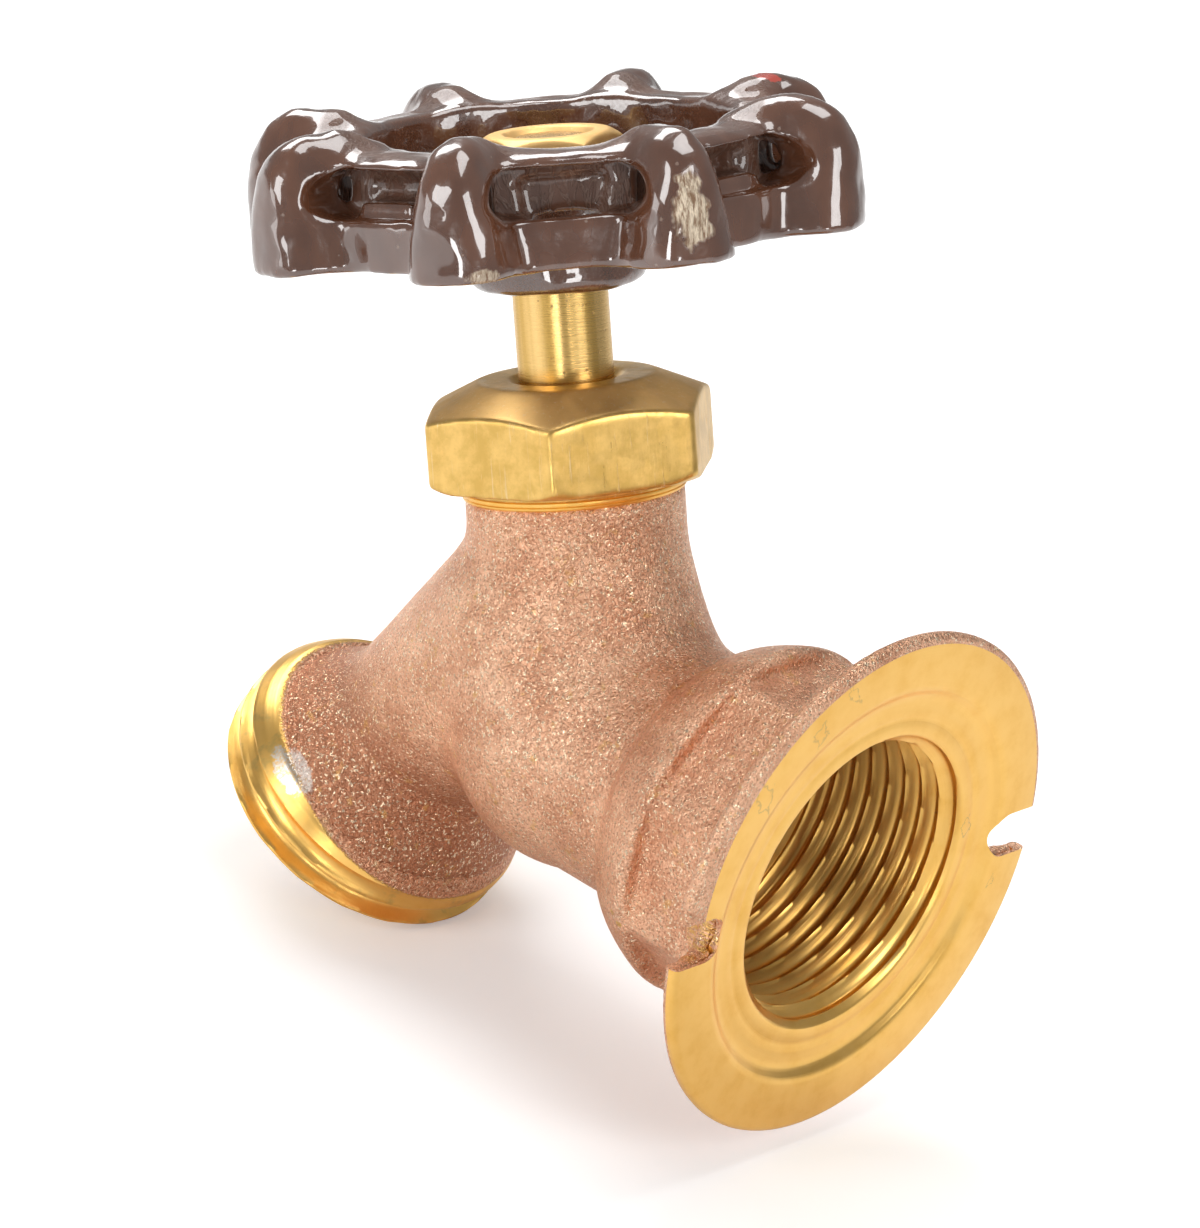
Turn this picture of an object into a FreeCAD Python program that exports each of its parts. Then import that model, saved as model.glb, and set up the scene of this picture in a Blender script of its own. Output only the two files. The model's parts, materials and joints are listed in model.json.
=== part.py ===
import FreeCAD, Part
import math
import os

V = FreeCAD.Vector

# Frame: origin at the centre of the flange's front face, +Y out of the inlet towards the
# wall, +Z up, +X along the line of the two screw notches. All three axes of the tap lie
# in the plane X = 0.

# The three axes
stem_lean = 20.0            # stem leans this many degrees away from the wall
stem_back = 30.0            # stem axis crosses the inlet axis this far behind the face
outlet_lean = 30.0          # outlet leans this many degrees from straight down
outlet_cross = 14.5         # outlet axis leaves the stem axis at this height
outlet_reach = 36.3         # from that crossing to the end of the hose thread

# Casting, outside
neck_radius = 9.1
neck_top = 20.4
shoulder_radius = 9.3
shoulder_thick = 0.6
neck_foot_radius = 11.6
inlet_tube_radius = 11.3
heel_radius = 11.8
outlet_tube_radius = 8.3
outlet_root_radius = 10.9
outlet_root_height = 6.5    # past the crossing, where the outlet grows out of the heel
outlet_root_shift = 3.0
outlet_core_start = 4.0     # past the crossing, where the tube's straight core starts
collar_radius = 15.5
collar_front = 11.6
collar_back = 17.6
collar_round = 1.0          # rounding of the collar's front edge
collar_belly = 0.4          # the collar's back bulges this far past a straight cone
collar_root = 1.0           # fillet behind the collar
flats_across = 28.2
flange_radius = 22.2
flange_rim = 1.3
flange_root_radius = 14.7
flange_sweep = 4.2

# Flange face
recess_radius = 17.2
recess_depth = 0.7
notch_width = 4.0
notch_inner = 16.9
mouth_chamfer = 1.1

# Inlet pipe thread, straight: 14 turns to the inch
pipe_crest_radius = 12.05
pipe_pitch = 1.814
pipe_groove = 0.95
pipe_depth = 14.2
waterway_radius = 5.0
waterway_drop = 1.0
waterway_end = 33.5

# Hose outlet: 11.5 turns to the inch
hose_crest_radius = 13.49
hose_pitch = 2.209
hose_groove = 1.2
hose_band = 6.7
hose_thread_turns = 2.1
hose_chamfer = 0.5
hose_bore_radius = 9.6
hose_bore_depth = 7.0
bell_length = 4.6
bell_radius = 12.0
passage_radius = 4.3
passage_shift = 2.0
passage_start = 5.6

# Seat and neck bore
seat_height = 6.2
seat_port_radius = 3.9
seat_lip_radius = 6.0
seat_lip_height = 1.2
chamber_radius = 7.2
chamber_top = 14.4

# Screw pair of stem and neck: 12 turns to the inch, right hand
lead = 2.117
turns_open = 2.5
neck_crest_radius = 5.95
neck_groove = 0.75
neck_flat = 0.5
thread_gap = 0.2
flank_gap = 0.15
neck_thread_top = 20.2
neck_rise = 4.6             # spigot above the shoulder, inside the packing nut
spigot_radius = 8.75
spigot_bore_radius = 6.9

# Packing nut
nut_across = 22.2
nut_turn = 4.8              # round the stem, from the wall side
nut_bottom = 21.6
nut_skirt = 0.75
nut_skirt_radius = 9.55
nut_hex_top = 28.35
nut_top = 29.9
nut_top_radius = 7.4
nut_lower_chamfer = 0.55
nut_roof = 1.9
nut_gap = 0.1
nut_pitch = 1.27
nut_groove = 0.5

# Packing
packing_washer_thick = 0.7
washer_gap = 0.05
packing_gap = 0.02

# Stem
stem_radius = 3.95
stem_hole_gap = 0.2
stem_thread_start = 11.0
stem_thread_length = 8.0
stem_stop_gap = 0.1         # left under the packing washer with the tap fully open
cup_radius = 5.6
cup_bottom = 7.7
cup_floor = 8.8
cup_top = 10.6
seat_screw_bore = 1.5
seat_screw_depth = 5.2

# Seat washer and its screw
seat_washer_radius = 5.3
seat_washer_hole = 1.7
seat_screw_radius = 1.45
seat_screw_head = 2.9
seat_screw_head_thick = 1.3
seat_screw_slot = 0.6

# Handwheel, heights measured along the stem from the inlet axis
wheel_gap = 7.7             # from the packing nut up to the hub
hub_radius = 7.4
hub_foot_chamfer = 1.2
hub_length = 9.6
broach_across = 6.3
broach_gap = 0.05
broach_start = 0.9
rim_lift = 4.0              # from the hub's foot up to the rim
band_radius = 21.2
band_wall = 2.0
band_height = 9.4
band_crown_inset = 3.2
channel_width = 2.2         # between the band and the inner wall
inner_wall = 1.8
inner_wall_foot = 3.6       # above the rim's foot
lobe_count = 8
lobe_phase = -66.7          # round the stem, from the wall side
lobe_reach = 5.2            # past the band
lobe_crown_inset = 1.0
lobe_height = 11.2
lobe_back_drop = 3.4        # from a lobe's crown down to the rim's inner edge
lobe_straight = 3.6
lobe_width = 7.4
lobe_round = 2.6
lobe_wall = 2.1
window_bottom = 4.7
window_height = 3.6
window_bite = 1.9           # how far a window reaches in under the lobe on each side
window_depth = 0.8          # from the inner wall out to where a window's pocket starts
spoke_count = 4
spoke_width = 6.0
spoke_thick = 2.6
spoke_rise = 0.8
spoke_lift = 6.4            # from the hub's foot up to a spoke's root

# Handle nut on the threaded end of the stem
handle_nut_across = 11.1
handle_nut_thick = 2.9
handle_nut_turn = 41.0
handle_nut_chamfer = 0.9
stem_end_radius = 3.1
stem_end_gap = 0.06
stem_end_sunk = 0.35

# Worked out from the values above
wheel_foot = nut_top + wheel_gap
hub_top = wheel_foot + hub_length
outlet_length = outlet_reach
spigot_top = neck_top + shoulder_thick + neck_rise
nut_inner_radius = spigot_radius + nut_gap
band_start = outlet_length - hose_band
bell_start = band_start - bell_length
travel = lead * turns_open
inner_wall_radius = band_radius - band_wall - channel_width - inner_wall
band_crown_radius = band_radius - band_crown_inset
lobe_radius = band_radius + lobe_reach
lobe_crown_radius = band_radius - lobe_crown_inset
lobe_spacing = 2 * band_radius * math.sin(math.pi / lobe_count)
window_width = lobe_spacing - lobe_width + 2 * window_bite


def stem_place():
    lean = math.radians(stem_lean)
    up = V(0, -math.sin(lean), math.cos(lean))
    side = V(0, math.cos(lean), math.sin(lean))
    return frame_place(V(0, -stem_back, 0), side, up)


def inlet_place():
    return frame_place(V(0, 0, 0), V(1, 0, 0), V(0, 1, 0))


def outlet_place():
    lean = math.radians(outlet_lean)
    tilt = math.radians(stem_lean)
    down = V(0, -math.sin(lean), -math.cos(lean))
    side = V(0, math.cos(lean), -math.sin(lean))
    cross = V(0, -stem_back - outlet_cross * math.sin(tilt), outlet_cross * math.cos(tilt))
    return frame_place(cross, side, down)


def frame_place(origin, x_axis, z_axis):
    y_axis = z_axis.cross(x_axis)
    matrix = FreeCAD.Matrix(
        x_axis.x, y_axis.x, z_axis.x, origin.x,
        x_axis.y, y_axis.y, z_axis.y, origin.y,
        x_axis.z, y_axis.z, z_axis.z, origin.z,
        0, 0, 0, 1,
    )
    return FreeCAD.Placement(matrix)


def put(shape, place):
    moved = shape.copy()
    moved.Placement = place.multiply(moved.Placement)
    return moved


def cylinder(radius, low, high, x=0.0, y=0.0):
    return Part.makeCylinder(radius, high - low, V(x, y, low))


def tube(outer, inner, low, high):
    return cylinder(outer, low, high).cut(cylinder(inner, low - 1, high + 1))


def turned(points):
    """Solid turned about Z from (radius, height) points. A third value on a point gives the
    arc from the point before it its middle, as (radius, height)."""
    edges = []
    count = len(points)
    for i in range(count):
        here = points[i]
        there = points[(i + 1) % count]
        a = V(here[0], 0, here[1])
        b = V(there[0], 0, there[1])
        if (b - a).Length < 1e-6:
            continue
        if len(there) > 2:
            edges.append(Part.Arc(a, V(there[2][0], 0, there[2][1]), b).toShape())
        else:
            edges.append(Part.makeLine(a, b))
    face = Part.Face(Part.Wire(edges))
    return face.revolve(V(0, 0, 0), V(0, 0, 1), 360)


def prism(sides, across, low, high, turn=0.0):
    corner = across / 2 / math.cos(math.pi / sides)
    ring = []
    for k in range(sides + 1):
        angle = math.radians(turn) + 2 * math.pi * k / sides
        ring.append(V(corner * math.cos(angle), corner * math.sin(angle), low))
    return Part.Face(Part.makePolygon(ring)).extrude(V(0, 0, high - low))


def sector_cylinder(radius, low, high, sectors=12):
    """A cylinder whose side is made of twelve faces, so that a thread's crest keeps
    short faces after its groove is cut."""
    edges = []
    for k in range(sectors):
        spots = []
        for part in (0.0, 0.5, 1.0):
            angle = 2 * math.pi * (k + part) / sectors
            spots.append(V(radius * math.cos(angle), radius * math.sin(angle), low))
        edges.append(Part.Arc(spots[0], spots[1], spots[2]).toShape())
    return Part.Face(Part.Wire(edges)).extrude(V(0, 0, high - low))


def coil(profile, pitch, start, turns, radius):
    """The profile swept along a right-hand helix that starts at height start."""
    helix = Part.makeLongHelix(pitch, turns * pitch, radius)
    helix.translate(V(0, 0, start))
    sweep = Part.BRepOffsetAPI.MakePipeShell(Part.Wire(helix.Edges))
    sweep.setFrenetMode(True)
    sweep.add(Part.makePolygon(profile + [profile[0]]))
    sweep.build()
    sweep.makeSolid()
    return sweep.shape()


def groove(surface, floor, pitch, flat, crest, start, turns, past=0.2):
    """A thread groove cut from a surface radius to a floor radius, with the groove's floor
    flat wide and a crest left between its turns."""
    depth = abs(surface - floor)
    slope = (pitch - flat - crest) / 2 / depth
    out = surface - past if floor > surface else surface + past
    half = flat / 2 + slope * (depth + past)
    profile = [
        V(floor, 0, start - flat / 2),
        V(out, 0, start - half),
        V(out, 0, start + half),
        V(floor, 0, start + flat / 2),
    ]
    return coil(profile, pitch, start, turns, surface)


def one_solid(shape):
    solids = shape.Solids
    if len(solids) != 1:
        raise ValueError("expected one solid, got %d" % len(solids))
    return solids[0]


def write(name, shape):
    if not shape.isValid():
        raise ValueError("invalid shape: " + name)
    shape.exportStep("parts/" + name + ".step")
    print(name, round(shape.Volume, 1), "mm3", len(shape.Solids), "solid")


# Casting: flange, octagon, collar and inlet tube, in the inlet's frame

def inlet_outside():
    back = -flange_rim
    root = back - flange_sweep
    middle = (
        flange_root_radius + (flange_radius - flange_root_radius) * 0.22,
        back - flange_sweep * 0.42,
    )
    flange = turned([
        (0, 0),
        (flange_radius, 0),
        (flange_radius, back),
        (flange_root_radius, root, middle),
        (0, root),
    ])
    flats = prism(8, flats_across, -collar_front - 1.0, back, 22.5)
    low = -collar_back
    high = -collar_front
    foot = inlet_tube_radius + collar_root
    edge = high - collar_round
    root_middle = (inlet_tube_radius + collar_root * 0.3, low - collar_root * 0.3)
    belly = ((foot + collar_radius) / 2 + collar_belly, (low + edge) / 2 - collar_belly)
    edge_middle = (collar_radius - collar_round * 0.15, high - collar_round * 0.3)
    pipe = turned([
        (0, -stem_back),
        (heel_radius, -stem_back),
        (inlet_tube_radius, low - collar_root),
        (foot, low, root_middle),
        (collar_radius, edge, belly),
        (collar_radius - collar_round * 0.5, high, edge_middle),
        (0, high),
    ])
    heel = Part.makeSphere(heel_radius, V(0, 0, -stem_back))
    return flange.fuse([flats, pipe, heel])


def neck_outside():
    top = neck_top
    return turned([
        (0, 0),
        (neck_foot_radius + 0.5, 0),
        (neck_foot_radius, 5.0),
        (neck_radius, 16.4, (neck_radius + 0.7, 12.0)),
        (neck_radius, top),
        (shoulder_radius, top),
        (shoulder_radius, top + shoulder_thick),
        (spigot_radius, top + shoulder_thick),
        (spigot_radius, spigot_top - 0.4),
        (spigot_radius - 0.4, spigot_top),
        (0, spigot_top),
    ])


def outlet_outside():
    end = bell_start + 0.5
    rings = []
    for radius, height, shift in (
        (outlet_root_radius, outlet_root_height, outlet_root_shift),
        (outlet_tube_radius, end, 0.0),
    ):
        ring = Part.makeCircle(radius, V(shift, 0, height), V(0, 0, 1))
        rings.append(Part.Wire(ring))
    body = Part.makeLoft(rings, True, True)
    shoulder = Part.makeSphere(outlet_root_radius, V(outlet_root_shift, 0, outlet_root_height))
    core = cylinder(outlet_tube_radius, outlet_core_start, end)
    flare_middle = (outlet_tube_radius + 2.6, bell_start + 2.0)
    bell = turned([
        (0, bell_start - 0.6),
        (outlet_tube_radius - 0.1, bell_start - 0.6),
        (outlet_tube_radius + 0.6, bell_start),
        (bell_radius, band_start, flare_middle),
        (bell_radius, band_start + 0.3),
        (0, band_start + 0.3),
    ])
    return body.fuse([shoulder, core, bell])


def hose_band_outside():
    band = sector_cylinder(hose_crest_radius, band_start, outlet_length)
    cap = turned([
        (0, band_start),
        (hose_crest_radius - 0.5, band_start),
        (hose_crest_radius + 0.3, band_start + 0.8),
        (hose_crest_radius + 0.3, outlet_length - hose_chamfer - 0.3),
        (hose_crest_radius - hose_chamfer, outlet_length),
        (0, outlet_length),
    ])
    thread = groove(
        hose_crest_radius, hose_crest_radius - hose_groove, hose_pitch, 0.45, 0.45,
        outlet_length - hose_thread_turns * hose_pitch, hose_thread_turns + 1.0,
    )
    return band.common(cap).cut(thread)


def waterways():
    """Everything that water fills, in the part's own frame."""
    inlet = inlet_place()
    stem = stem_place()
    outlet = outlet_place()
    bore = sector_cylinder(pipe_crest_radius, -pipe_depth, 1.0)
    throat = turned([
        (0, -pipe_depth - 4.0),
        (waterway_radius, -pipe_depth - 4.0),
        (pipe_crest_radius - 0.6, -pipe_depth),
        (0, -pipe_depth),
    ])
    mouth_radius = pipe_crest_radius + mouth_chamfer
    mouth = turned([
        (0, -recess_depth - mouth_chamfer),
        (pipe_crest_radius, -recess_depth - mouth_chamfer),
        (mouth_radius, -recess_depth),
        (mouth_radius, 1.0),
        (0, 1.0),
    ])
    recess = cylinder(recess_radius, -recess_depth, 1.0)
    run = cylinder(waterway_radius, -waterway_end, -pipe_depth - 3.0, 0, waterway_drop)
    run_end = Part.makeSphere(waterway_radius, V(0, waterway_drop, -waterway_end))
    port = cylinder(seat_port_radius, 0, seat_height + 1.0)
    low = seat_height - seat_lip_height
    chamber = tube(chamber_radius, seat_lip_radius, low, seat_height)
    chamber = chamber.fuse(cylinder(chamber_radius, seat_height, chamber_top))
    neck_bore = sector_cylinder(neck_crest_radius, chamber_top - 1.0, neck_thread_top)
    spigot_bore = cylinder(spigot_bore_radius, neck_thread_top, spigot_top + 1)
    passage = cylinder(passage_radius, passage_start, bell_start + 2.0, -passage_shift)
    hose_end = outlet_length
    hose_bore = turned([
        (0, bell_start + 1.0),
        (passage_radius + 0.4, bell_start + 1.0),
        (hose_bore_radius, hose_end - hose_bore_depth),
        (hose_bore_radius, hose_end + 1),
        (0, hose_end + 1),
    ])
    spaces = [put(s, inlet) for s in (throat, mouth, recess, run, run_end)]
    spaces += [put(s, stem) for s in (port, chamber, neck_bore, spigot_bore)]
    spaces += [put(s, outlet) for s in (passage, hose_bore)]
    return put(bore, inlet), spaces


def pipe_thread():
    turns = math.ceil(pipe_depth / pipe_pitch) + 1
    return groove(
        pipe_crest_radius, pipe_crest_radius + pipe_groove, pipe_pitch, 0.35, 0.35,
        -pipe_depth + 0.9, turns,
    )


def neck_thread():
    low = chamber_top - lead
    turns = math.ceil((neck_thread_top - low) / lead) + 1
    return groove(
        neck_crest_radius, neck_crest_radius + neck_groove, lead,
        neck_flat, neck_flat, low, turns,
    )


def spigot_thread():
    turns = neck_rise / nut_pitch + 0.6
    start = spigot_top - neck_rise + 0.75
    return groove(
        spigot_radius, spigot_radius - nut_groove, nut_pitch, 0.3, 0.3, start, turns,
    )


def flange_notches():
    cutters = []
    for side in (-1, 1):
        half = notch_width / 2
        round_at = notch_inner + half
        slot = Part.makeBox(flange_radius, notch_width, 8.0, V(round_at, -half, -7.0))
        slot = slot.fuse(cylinder(half, -7.0, 1.0, round_at))
        if side < 0:
            slot.rotate(V(0, 0, 0), V(0, 0, 1), 180)
        cutters.append(slot)
    return cutters


def valve_body():
    inlet = inlet_place()
    stem = stem_place()
    outlet = outlet_place()
    body = put(inlet_outside(), inlet)
    body = body.fuse([put(neck_outside(), stem), put(outlet_outside(), outlet)])
    body = body.fuse(put(hose_band_outside(), outlet))
    bore, spaces = waterways()
    body = body.cut(spaces)
    body = body.cut(bore)
    body = body.cut(put(pipe_thread(), inlet))
    body = body.cut(put(neck_thread(), stem))
    body = body.cut(put(spigot_thread(), stem))
    body = body.cut([put(s, inlet) for s in flange_notches()])
    return one_solid(body)


# Packing nut, packing washer and packing

def packing_nut():
    corner = nut_across / math.sqrt(3)
    blank = prism(6, nut_across, nut_bottom, nut_top, nut_turn)
    slope = (nut_top - nut_hex_top) / (nut_across / 2 - nut_top_radius)
    edge_drop = slope * (corner - nut_top_radius)
    envelope = turned([
        (0, nut_bottom),
        (corner - nut_lower_chamfer * 1.8, nut_bottom),
        (corner + 0.2, nut_bottom + nut_lower_chamfer * 1.3),
        (corner + 0.2, nut_top - edge_drop),
        (corner, nut_top - edge_drop),
        (nut_top_radius, nut_top),
        (0, nut_top),
    ])
    skirt = cylinder(nut_skirt_radius, nut_bottom - nut_skirt + 0.15, nut_bottom + 0.1)
    nut = blank.common(envelope).fuse(skirt)
    nut = nut.cut(cylinder(nut_inner_radius, nut_bottom - nut_skirt - 1, nut_top - nut_roof))
    nut = nut.cut(cylinder(stem_radius + stem_hole_gap, 0, nut_top + 1))
    return one_solid(nut)


def packing_washer():
    outer = nut_inner_radius - 2 * nut_gap
    ring = tube(outer, stem_radius + washer_gap, spigot_top, spigot_top + packing_washer_thick)
    return one_solid(ring)


def packing():
    low = spigot_top + packing_washer_thick
    high = nut_top - nut_roof
    return one_solid(tube(nut_inner_radius - nut_gap, stem_radius + packing_gap, low, high))


# Stem, seat washer and seat screw

def stem():
    core = neck_crest_radius - thread_gap
    crest = neck_crest_radius + neck_groove - thread_gap
    flank = (lead - 2 * neck_flat) / 2 / neck_groove
    crest_flat = neck_flat + 2 * flank * thread_gap - 2 * flank_gap
    floor_flat = lead - crest_flat - 2 * flank * (crest - core)
    top = stem_thread_start + stem_thread_length
    shoulder_top = spigot_top - travel - stem_stop_gap
    shaft_end = wheel_foot + broach_start
    end = hub_top + handle_nut_thick - stem_end_sunk
    square_end = hub_top - 0.3
    rod = turned([
        (0, cup_floor),
        (seat_washer_radius + 0.05, cup_floor),
        (seat_washer_radius + 0.05, cup_bottom),
        (cup_radius, cup_bottom),
        (cup_radius, cup_top),
        (core - 0.6, stem_thread_start - 0.1),
        (core - 0.6, top + 0.1),
        (stem_radius, shoulder_top),
        (stem_radius, shaft_end),
        (stem_end_radius, shaft_end),
        (stem_end_radius, end - 0.4),
        (stem_end_radius - 0.4, end),
        (0, end),
    ])
    square = prism(4, broach_across, shaft_end - 0.2, square_end, 45.0)
    square = square.common(cylinder(stem_radius, shaft_end - 0.3, square_end + 0.1))
    thread = sector_cylinder(crest, stem_thread_start, top)
    first = chamber_top + lead * 0.5 - 3 * lead
    turns = math.ceil(stem_thread_length / lead) + 3
    cutter = groove(
        crest, core, lead, floor_flat, crest_flat, first, turns,
    )
    thread = thread.cut(cutter)
    rod = rod.fuse([square, thread])
    rod = rod.cut(cylinder(seat_screw_bore, cup_floor - 1, cup_floor + seat_screw_depth))
    return one_solid(rod)


def seat_washer():
    ring = tube(seat_washer_radius, seat_washer_hole, seat_height, cup_floor)
    return one_solid(ring)


def seat_screw():
    low = seat_height - seat_screw_head_thick
    head = turned([
        (0, low),
        (seat_screw_head - 0.6, low),
        (seat_screw_head, low + 0.5, (seat_screw_head - 0.2, low + 0.2)),
        (seat_screw_head, seat_height),
        (seat_screw_radius, seat_height),
        (seat_screw_radius, cup_floor + seat_screw_depth - 0.4),
        (0, cup_floor + seat_screw_depth - 0.4),
    ])
    half = seat_screw_slot / 2
    slot = Part.makeBox(8, seat_screw_slot, 0.7, V(-4, -half, low - 0.1))
    return one_solid(head.cut(slot))


# Handwheel and the nut that holds it

def around_stem(shape, angle):
    shape.rotate(V(0, 0, 0), V(0, 0, 1), angle)
    return shape


def wheel_band():
    """Outer band, crown and inner wall as one open channel, hollow from below."""
    foot = wheel_foot + rim_lift
    top = foot + band_height
    channel_top = top - band_wall
    inner_foot = foot + inner_wall_foot
    shoulder = (band_radius - 0.9, top - 1.0)
    outside = turned([
        (inner_wall_radius, inner_foot),
        (inner_wall_radius + inner_wall, inner_foot),
        (inner_wall_radius + inner_wall, foot),
        (band_radius, foot),
        (band_radius, top - 2.6),
        (band_crown_radius, top, shoulder),
        (inner_wall_radius + 0.8, top),
        (inner_wall_radius, top - 0.8, (inner_wall_radius + 0.23, top - 0.23)),
    ])
    channel = tube(
        band_radius - band_wall, inner_wall_radius + inner_wall, foot - 1, channel_top,
    )
    return outside.cut(channel)


def lobe_solid(inset):
    """One lobe on the wall side of the stem, drawn in by inset."""
    foot = wheel_foot + rim_lift
    outer = lobe_radius - inset
    crown = foot + lobe_height - inset
    inner = inner_wall_radius + 0.6 + inset
    low = foot - (1.0 if inset else 0.0)
    straight = foot + lobe_straight
    swell = (
        lobe_crown_radius + (outer - lobe_crown_radius) * 0.74,
        straight + (crown - straight) * 0.70,
    )
    roll = (inner + (lobe_crown_radius - inner) * 0.28, crown - lobe_back_drop * 0.3)
    spots = [V(x, 0, z) for x, z in (
        (inner, low), (outer, low), (outer, straight), swell,
        (lobe_crown_radius, crown), roll, (inner, crown - lobe_back_drop),
    )]
    edges = [
        Part.makeLine(spots[0], spots[1]),
        Part.makeLine(spots[1], spots[2]),
        Part.Arc(spots[2], spots[3], spots[4]).toShape(),
        Part.Arc(spots[4], spots[5], spots[6]).toShape(),
        Part.makeLine(spots[6], spots[0]),
    ]
    half = lobe_width / 2 - inset
    lobe = Part.Face(Part.Wire(edges)).extrude(V(0, 2 * half, 0))
    lobe.translate(V(0, -half, 0))
    if inset:
        return lobe
    rims = []
    for edge in lobe.Edges:
        middle = edge.valueAt((edge.FirstParameter + edge.LastParameter) / 2)
        side = abs(abs(middle.y) - half) < 1e-6
        if side and middle.x > inner + 0.1 and middle.z > low + 0.1:
            rims.append(edge)
    return lobe.makeFillet(lobe_round, rims)


def wheel_windows():
    foot = wheel_foot + rim_lift
    cutters = []
    for k in range(lobe_count):
        angle = lobe_phase + (k + 0.5) * 360.0 / lobe_count
        end_round = window_height / 2
        half = window_width / 2 - end_round
        low = foot + window_bottom
        reach = inner_wall_radius + inner_wall + window_depth
        window = Part.makeBox(12, 2 * half, window_height, V(reach, -half, low))
        ends = []
        for side in (-1, 1):
            centre = V(reach, side * half, low + end_round)
            ends.append(Part.makeCylinder(end_round, 12, centre, V(1, 0, 0)))
        cutters.append(around_stem(window.fuse(ends), angle))
    return cutters


def wheel_spokes():
    low = wheel_foot + spoke_lift
    reach = band_radius - band_wall / 2
    side = [
        V(0, 0, low),
        V(reach, 0, low + spoke_rise),
        V(reach, 0, low + spoke_rise + spoke_thick),
        V(0, 0, low + spoke_thick),
    ]
    spokes = []
    for k in range(spoke_count):
        angle = lobe_phase - 180.0 / lobe_count + k * 360.0 / spoke_count
        arm = Part.Face(Part.makePolygon(side + [side[0]])).extrude(V(0, spoke_width, 0))
        arm.translate(V(0, -spoke_width / 2, 0))
        spokes.append(around_stem(arm, angle))
    return spokes


def handwheel():
    lobes = []
    hollows = []
    for k in range(lobe_count):
        angle = lobe_phase + k * 360.0 / lobe_count
        lobes.append(around_stem(lobe_solid(0.0), angle))
        hollows.append(around_stem(lobe_solid(lobe_wall), angle))
    rim = wheel_band().fuse(lobes)
    rim = rim.cut(hollows)
    rim = rim.cut(wheel_windows())
    hub = turned([
        (0, wheel_foot),
        (hub_radius - hub_foot_chamfer, wheel_foot),
        (hub_radius, wheel_foot + hub_foot_chamfer),
        (hub_radius, hub_top - 0.6),
        (hub_radius - 0.6, hub_top),
        (0, hub_top),
    ])
    wheel = rim.fuse(wheel_spokes() + [hub])
    bore = cylinder(stem_radius + broach_gap, wheel_foot - 1, wheel_foot + broach_start + broach_gap)
    broach = prism(4, broach_across + 2 * broach_gap, wheel_foot, hub_top + 1, 45.0)
    return one_solid(wheel.cut([bore, broach]))


def handle_nut():
    low = hub_top
    high = hub_top + handle_nut_thick
    corner = handle_nut_across / math.sqrt(3)
    blank = prism(6, handle_nut_across, low, high, handle_nut_turn)
    envelope = turned([
        (0, low),
        (corner + 0.1, low),
        (corner + 0.1, high - handle_nut_chamfer),
        (corner - handle_nut_chamfer * 1.6, high),
        (0, high),
    ])
    nut = blank.common(envelope)
    return one_solid(nut.cut(cylinder(stem_end_radius + stem_end_gap, low - 1, high + 1)))


def main():
    os.makedirs("parts", exist_ok=True)
    on_stem = {
        "packing_nut": packing_nut,
        "packing_washer": packing_washer,
        "packing": packing,
        "stem": stem,
        "seat_washer": seat_washer,
        "seat_screw": seat_screw,
        "handwheel": handwheel,
        "handle_nut": handle_nut,
    }
    write("valve_body", valve_body())
    for name, build in on_stem.items():
        write(name, put(build(), stem_place()))


main()
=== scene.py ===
import json
import math

import bmesh
import bpy
import numpy as np
from mathutils import Matrix, Vector


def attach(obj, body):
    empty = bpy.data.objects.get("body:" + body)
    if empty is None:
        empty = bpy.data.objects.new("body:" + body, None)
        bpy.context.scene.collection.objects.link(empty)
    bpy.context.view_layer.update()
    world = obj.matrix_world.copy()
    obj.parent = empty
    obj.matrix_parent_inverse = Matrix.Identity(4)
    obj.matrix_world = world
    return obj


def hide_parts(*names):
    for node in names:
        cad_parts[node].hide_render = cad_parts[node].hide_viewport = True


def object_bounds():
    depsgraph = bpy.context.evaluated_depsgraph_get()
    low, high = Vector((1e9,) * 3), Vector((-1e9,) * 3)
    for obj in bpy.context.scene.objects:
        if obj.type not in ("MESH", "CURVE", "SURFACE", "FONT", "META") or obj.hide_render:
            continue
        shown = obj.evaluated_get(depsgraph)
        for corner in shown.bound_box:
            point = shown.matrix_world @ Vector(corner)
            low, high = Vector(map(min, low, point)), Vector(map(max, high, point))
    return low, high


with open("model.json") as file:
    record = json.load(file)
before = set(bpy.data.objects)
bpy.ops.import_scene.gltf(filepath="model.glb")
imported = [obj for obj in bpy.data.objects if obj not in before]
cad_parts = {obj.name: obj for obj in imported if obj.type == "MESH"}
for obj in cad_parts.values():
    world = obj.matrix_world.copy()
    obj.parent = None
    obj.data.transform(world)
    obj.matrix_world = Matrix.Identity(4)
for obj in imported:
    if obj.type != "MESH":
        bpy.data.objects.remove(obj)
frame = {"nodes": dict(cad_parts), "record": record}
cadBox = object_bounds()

# Shapes are written in millimetres, along the tap's own three axes, and moved to their
# places at the end. The axes come from the frame.
mm = 0.001
joints = {joint["name"]: joint for joint in frame["record"]["behaviour"]["joints"]}
mounts = {mount["name"]: mount for mount in frame["record"]["mounts"]}
wheelJoint = joints["wheel_turn"]
hoseMount = mounts["hose_outlet"]
outletCross = 14.5      # height on the stem's axis where the outlet's axis leaves it


# A place whose third axis runs along the one given
def placeAlong(origin, side, axis):
    up = Vector(axis).normalized()
    across = Vector(side)
    across = (across - up * across.dot(up)).normalized()
    matrix = Matrix((across, up.cross(across), up)).transposed().to_4x4()
    matrix.translation = Vector(origin)
    return matrix


stemUp = Vector(wheelJoint["axis"]).normalized()
stemFoot = Vector(wheelJoint["pos_m"]) / mm
stemFoot = stemFoot - stemUp * (stemFoot.z / stemUp.z)      # down to the inlet's height
stemPlace = placeAlong(stemFoot, (0, 1, 0), stemUp)

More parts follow.
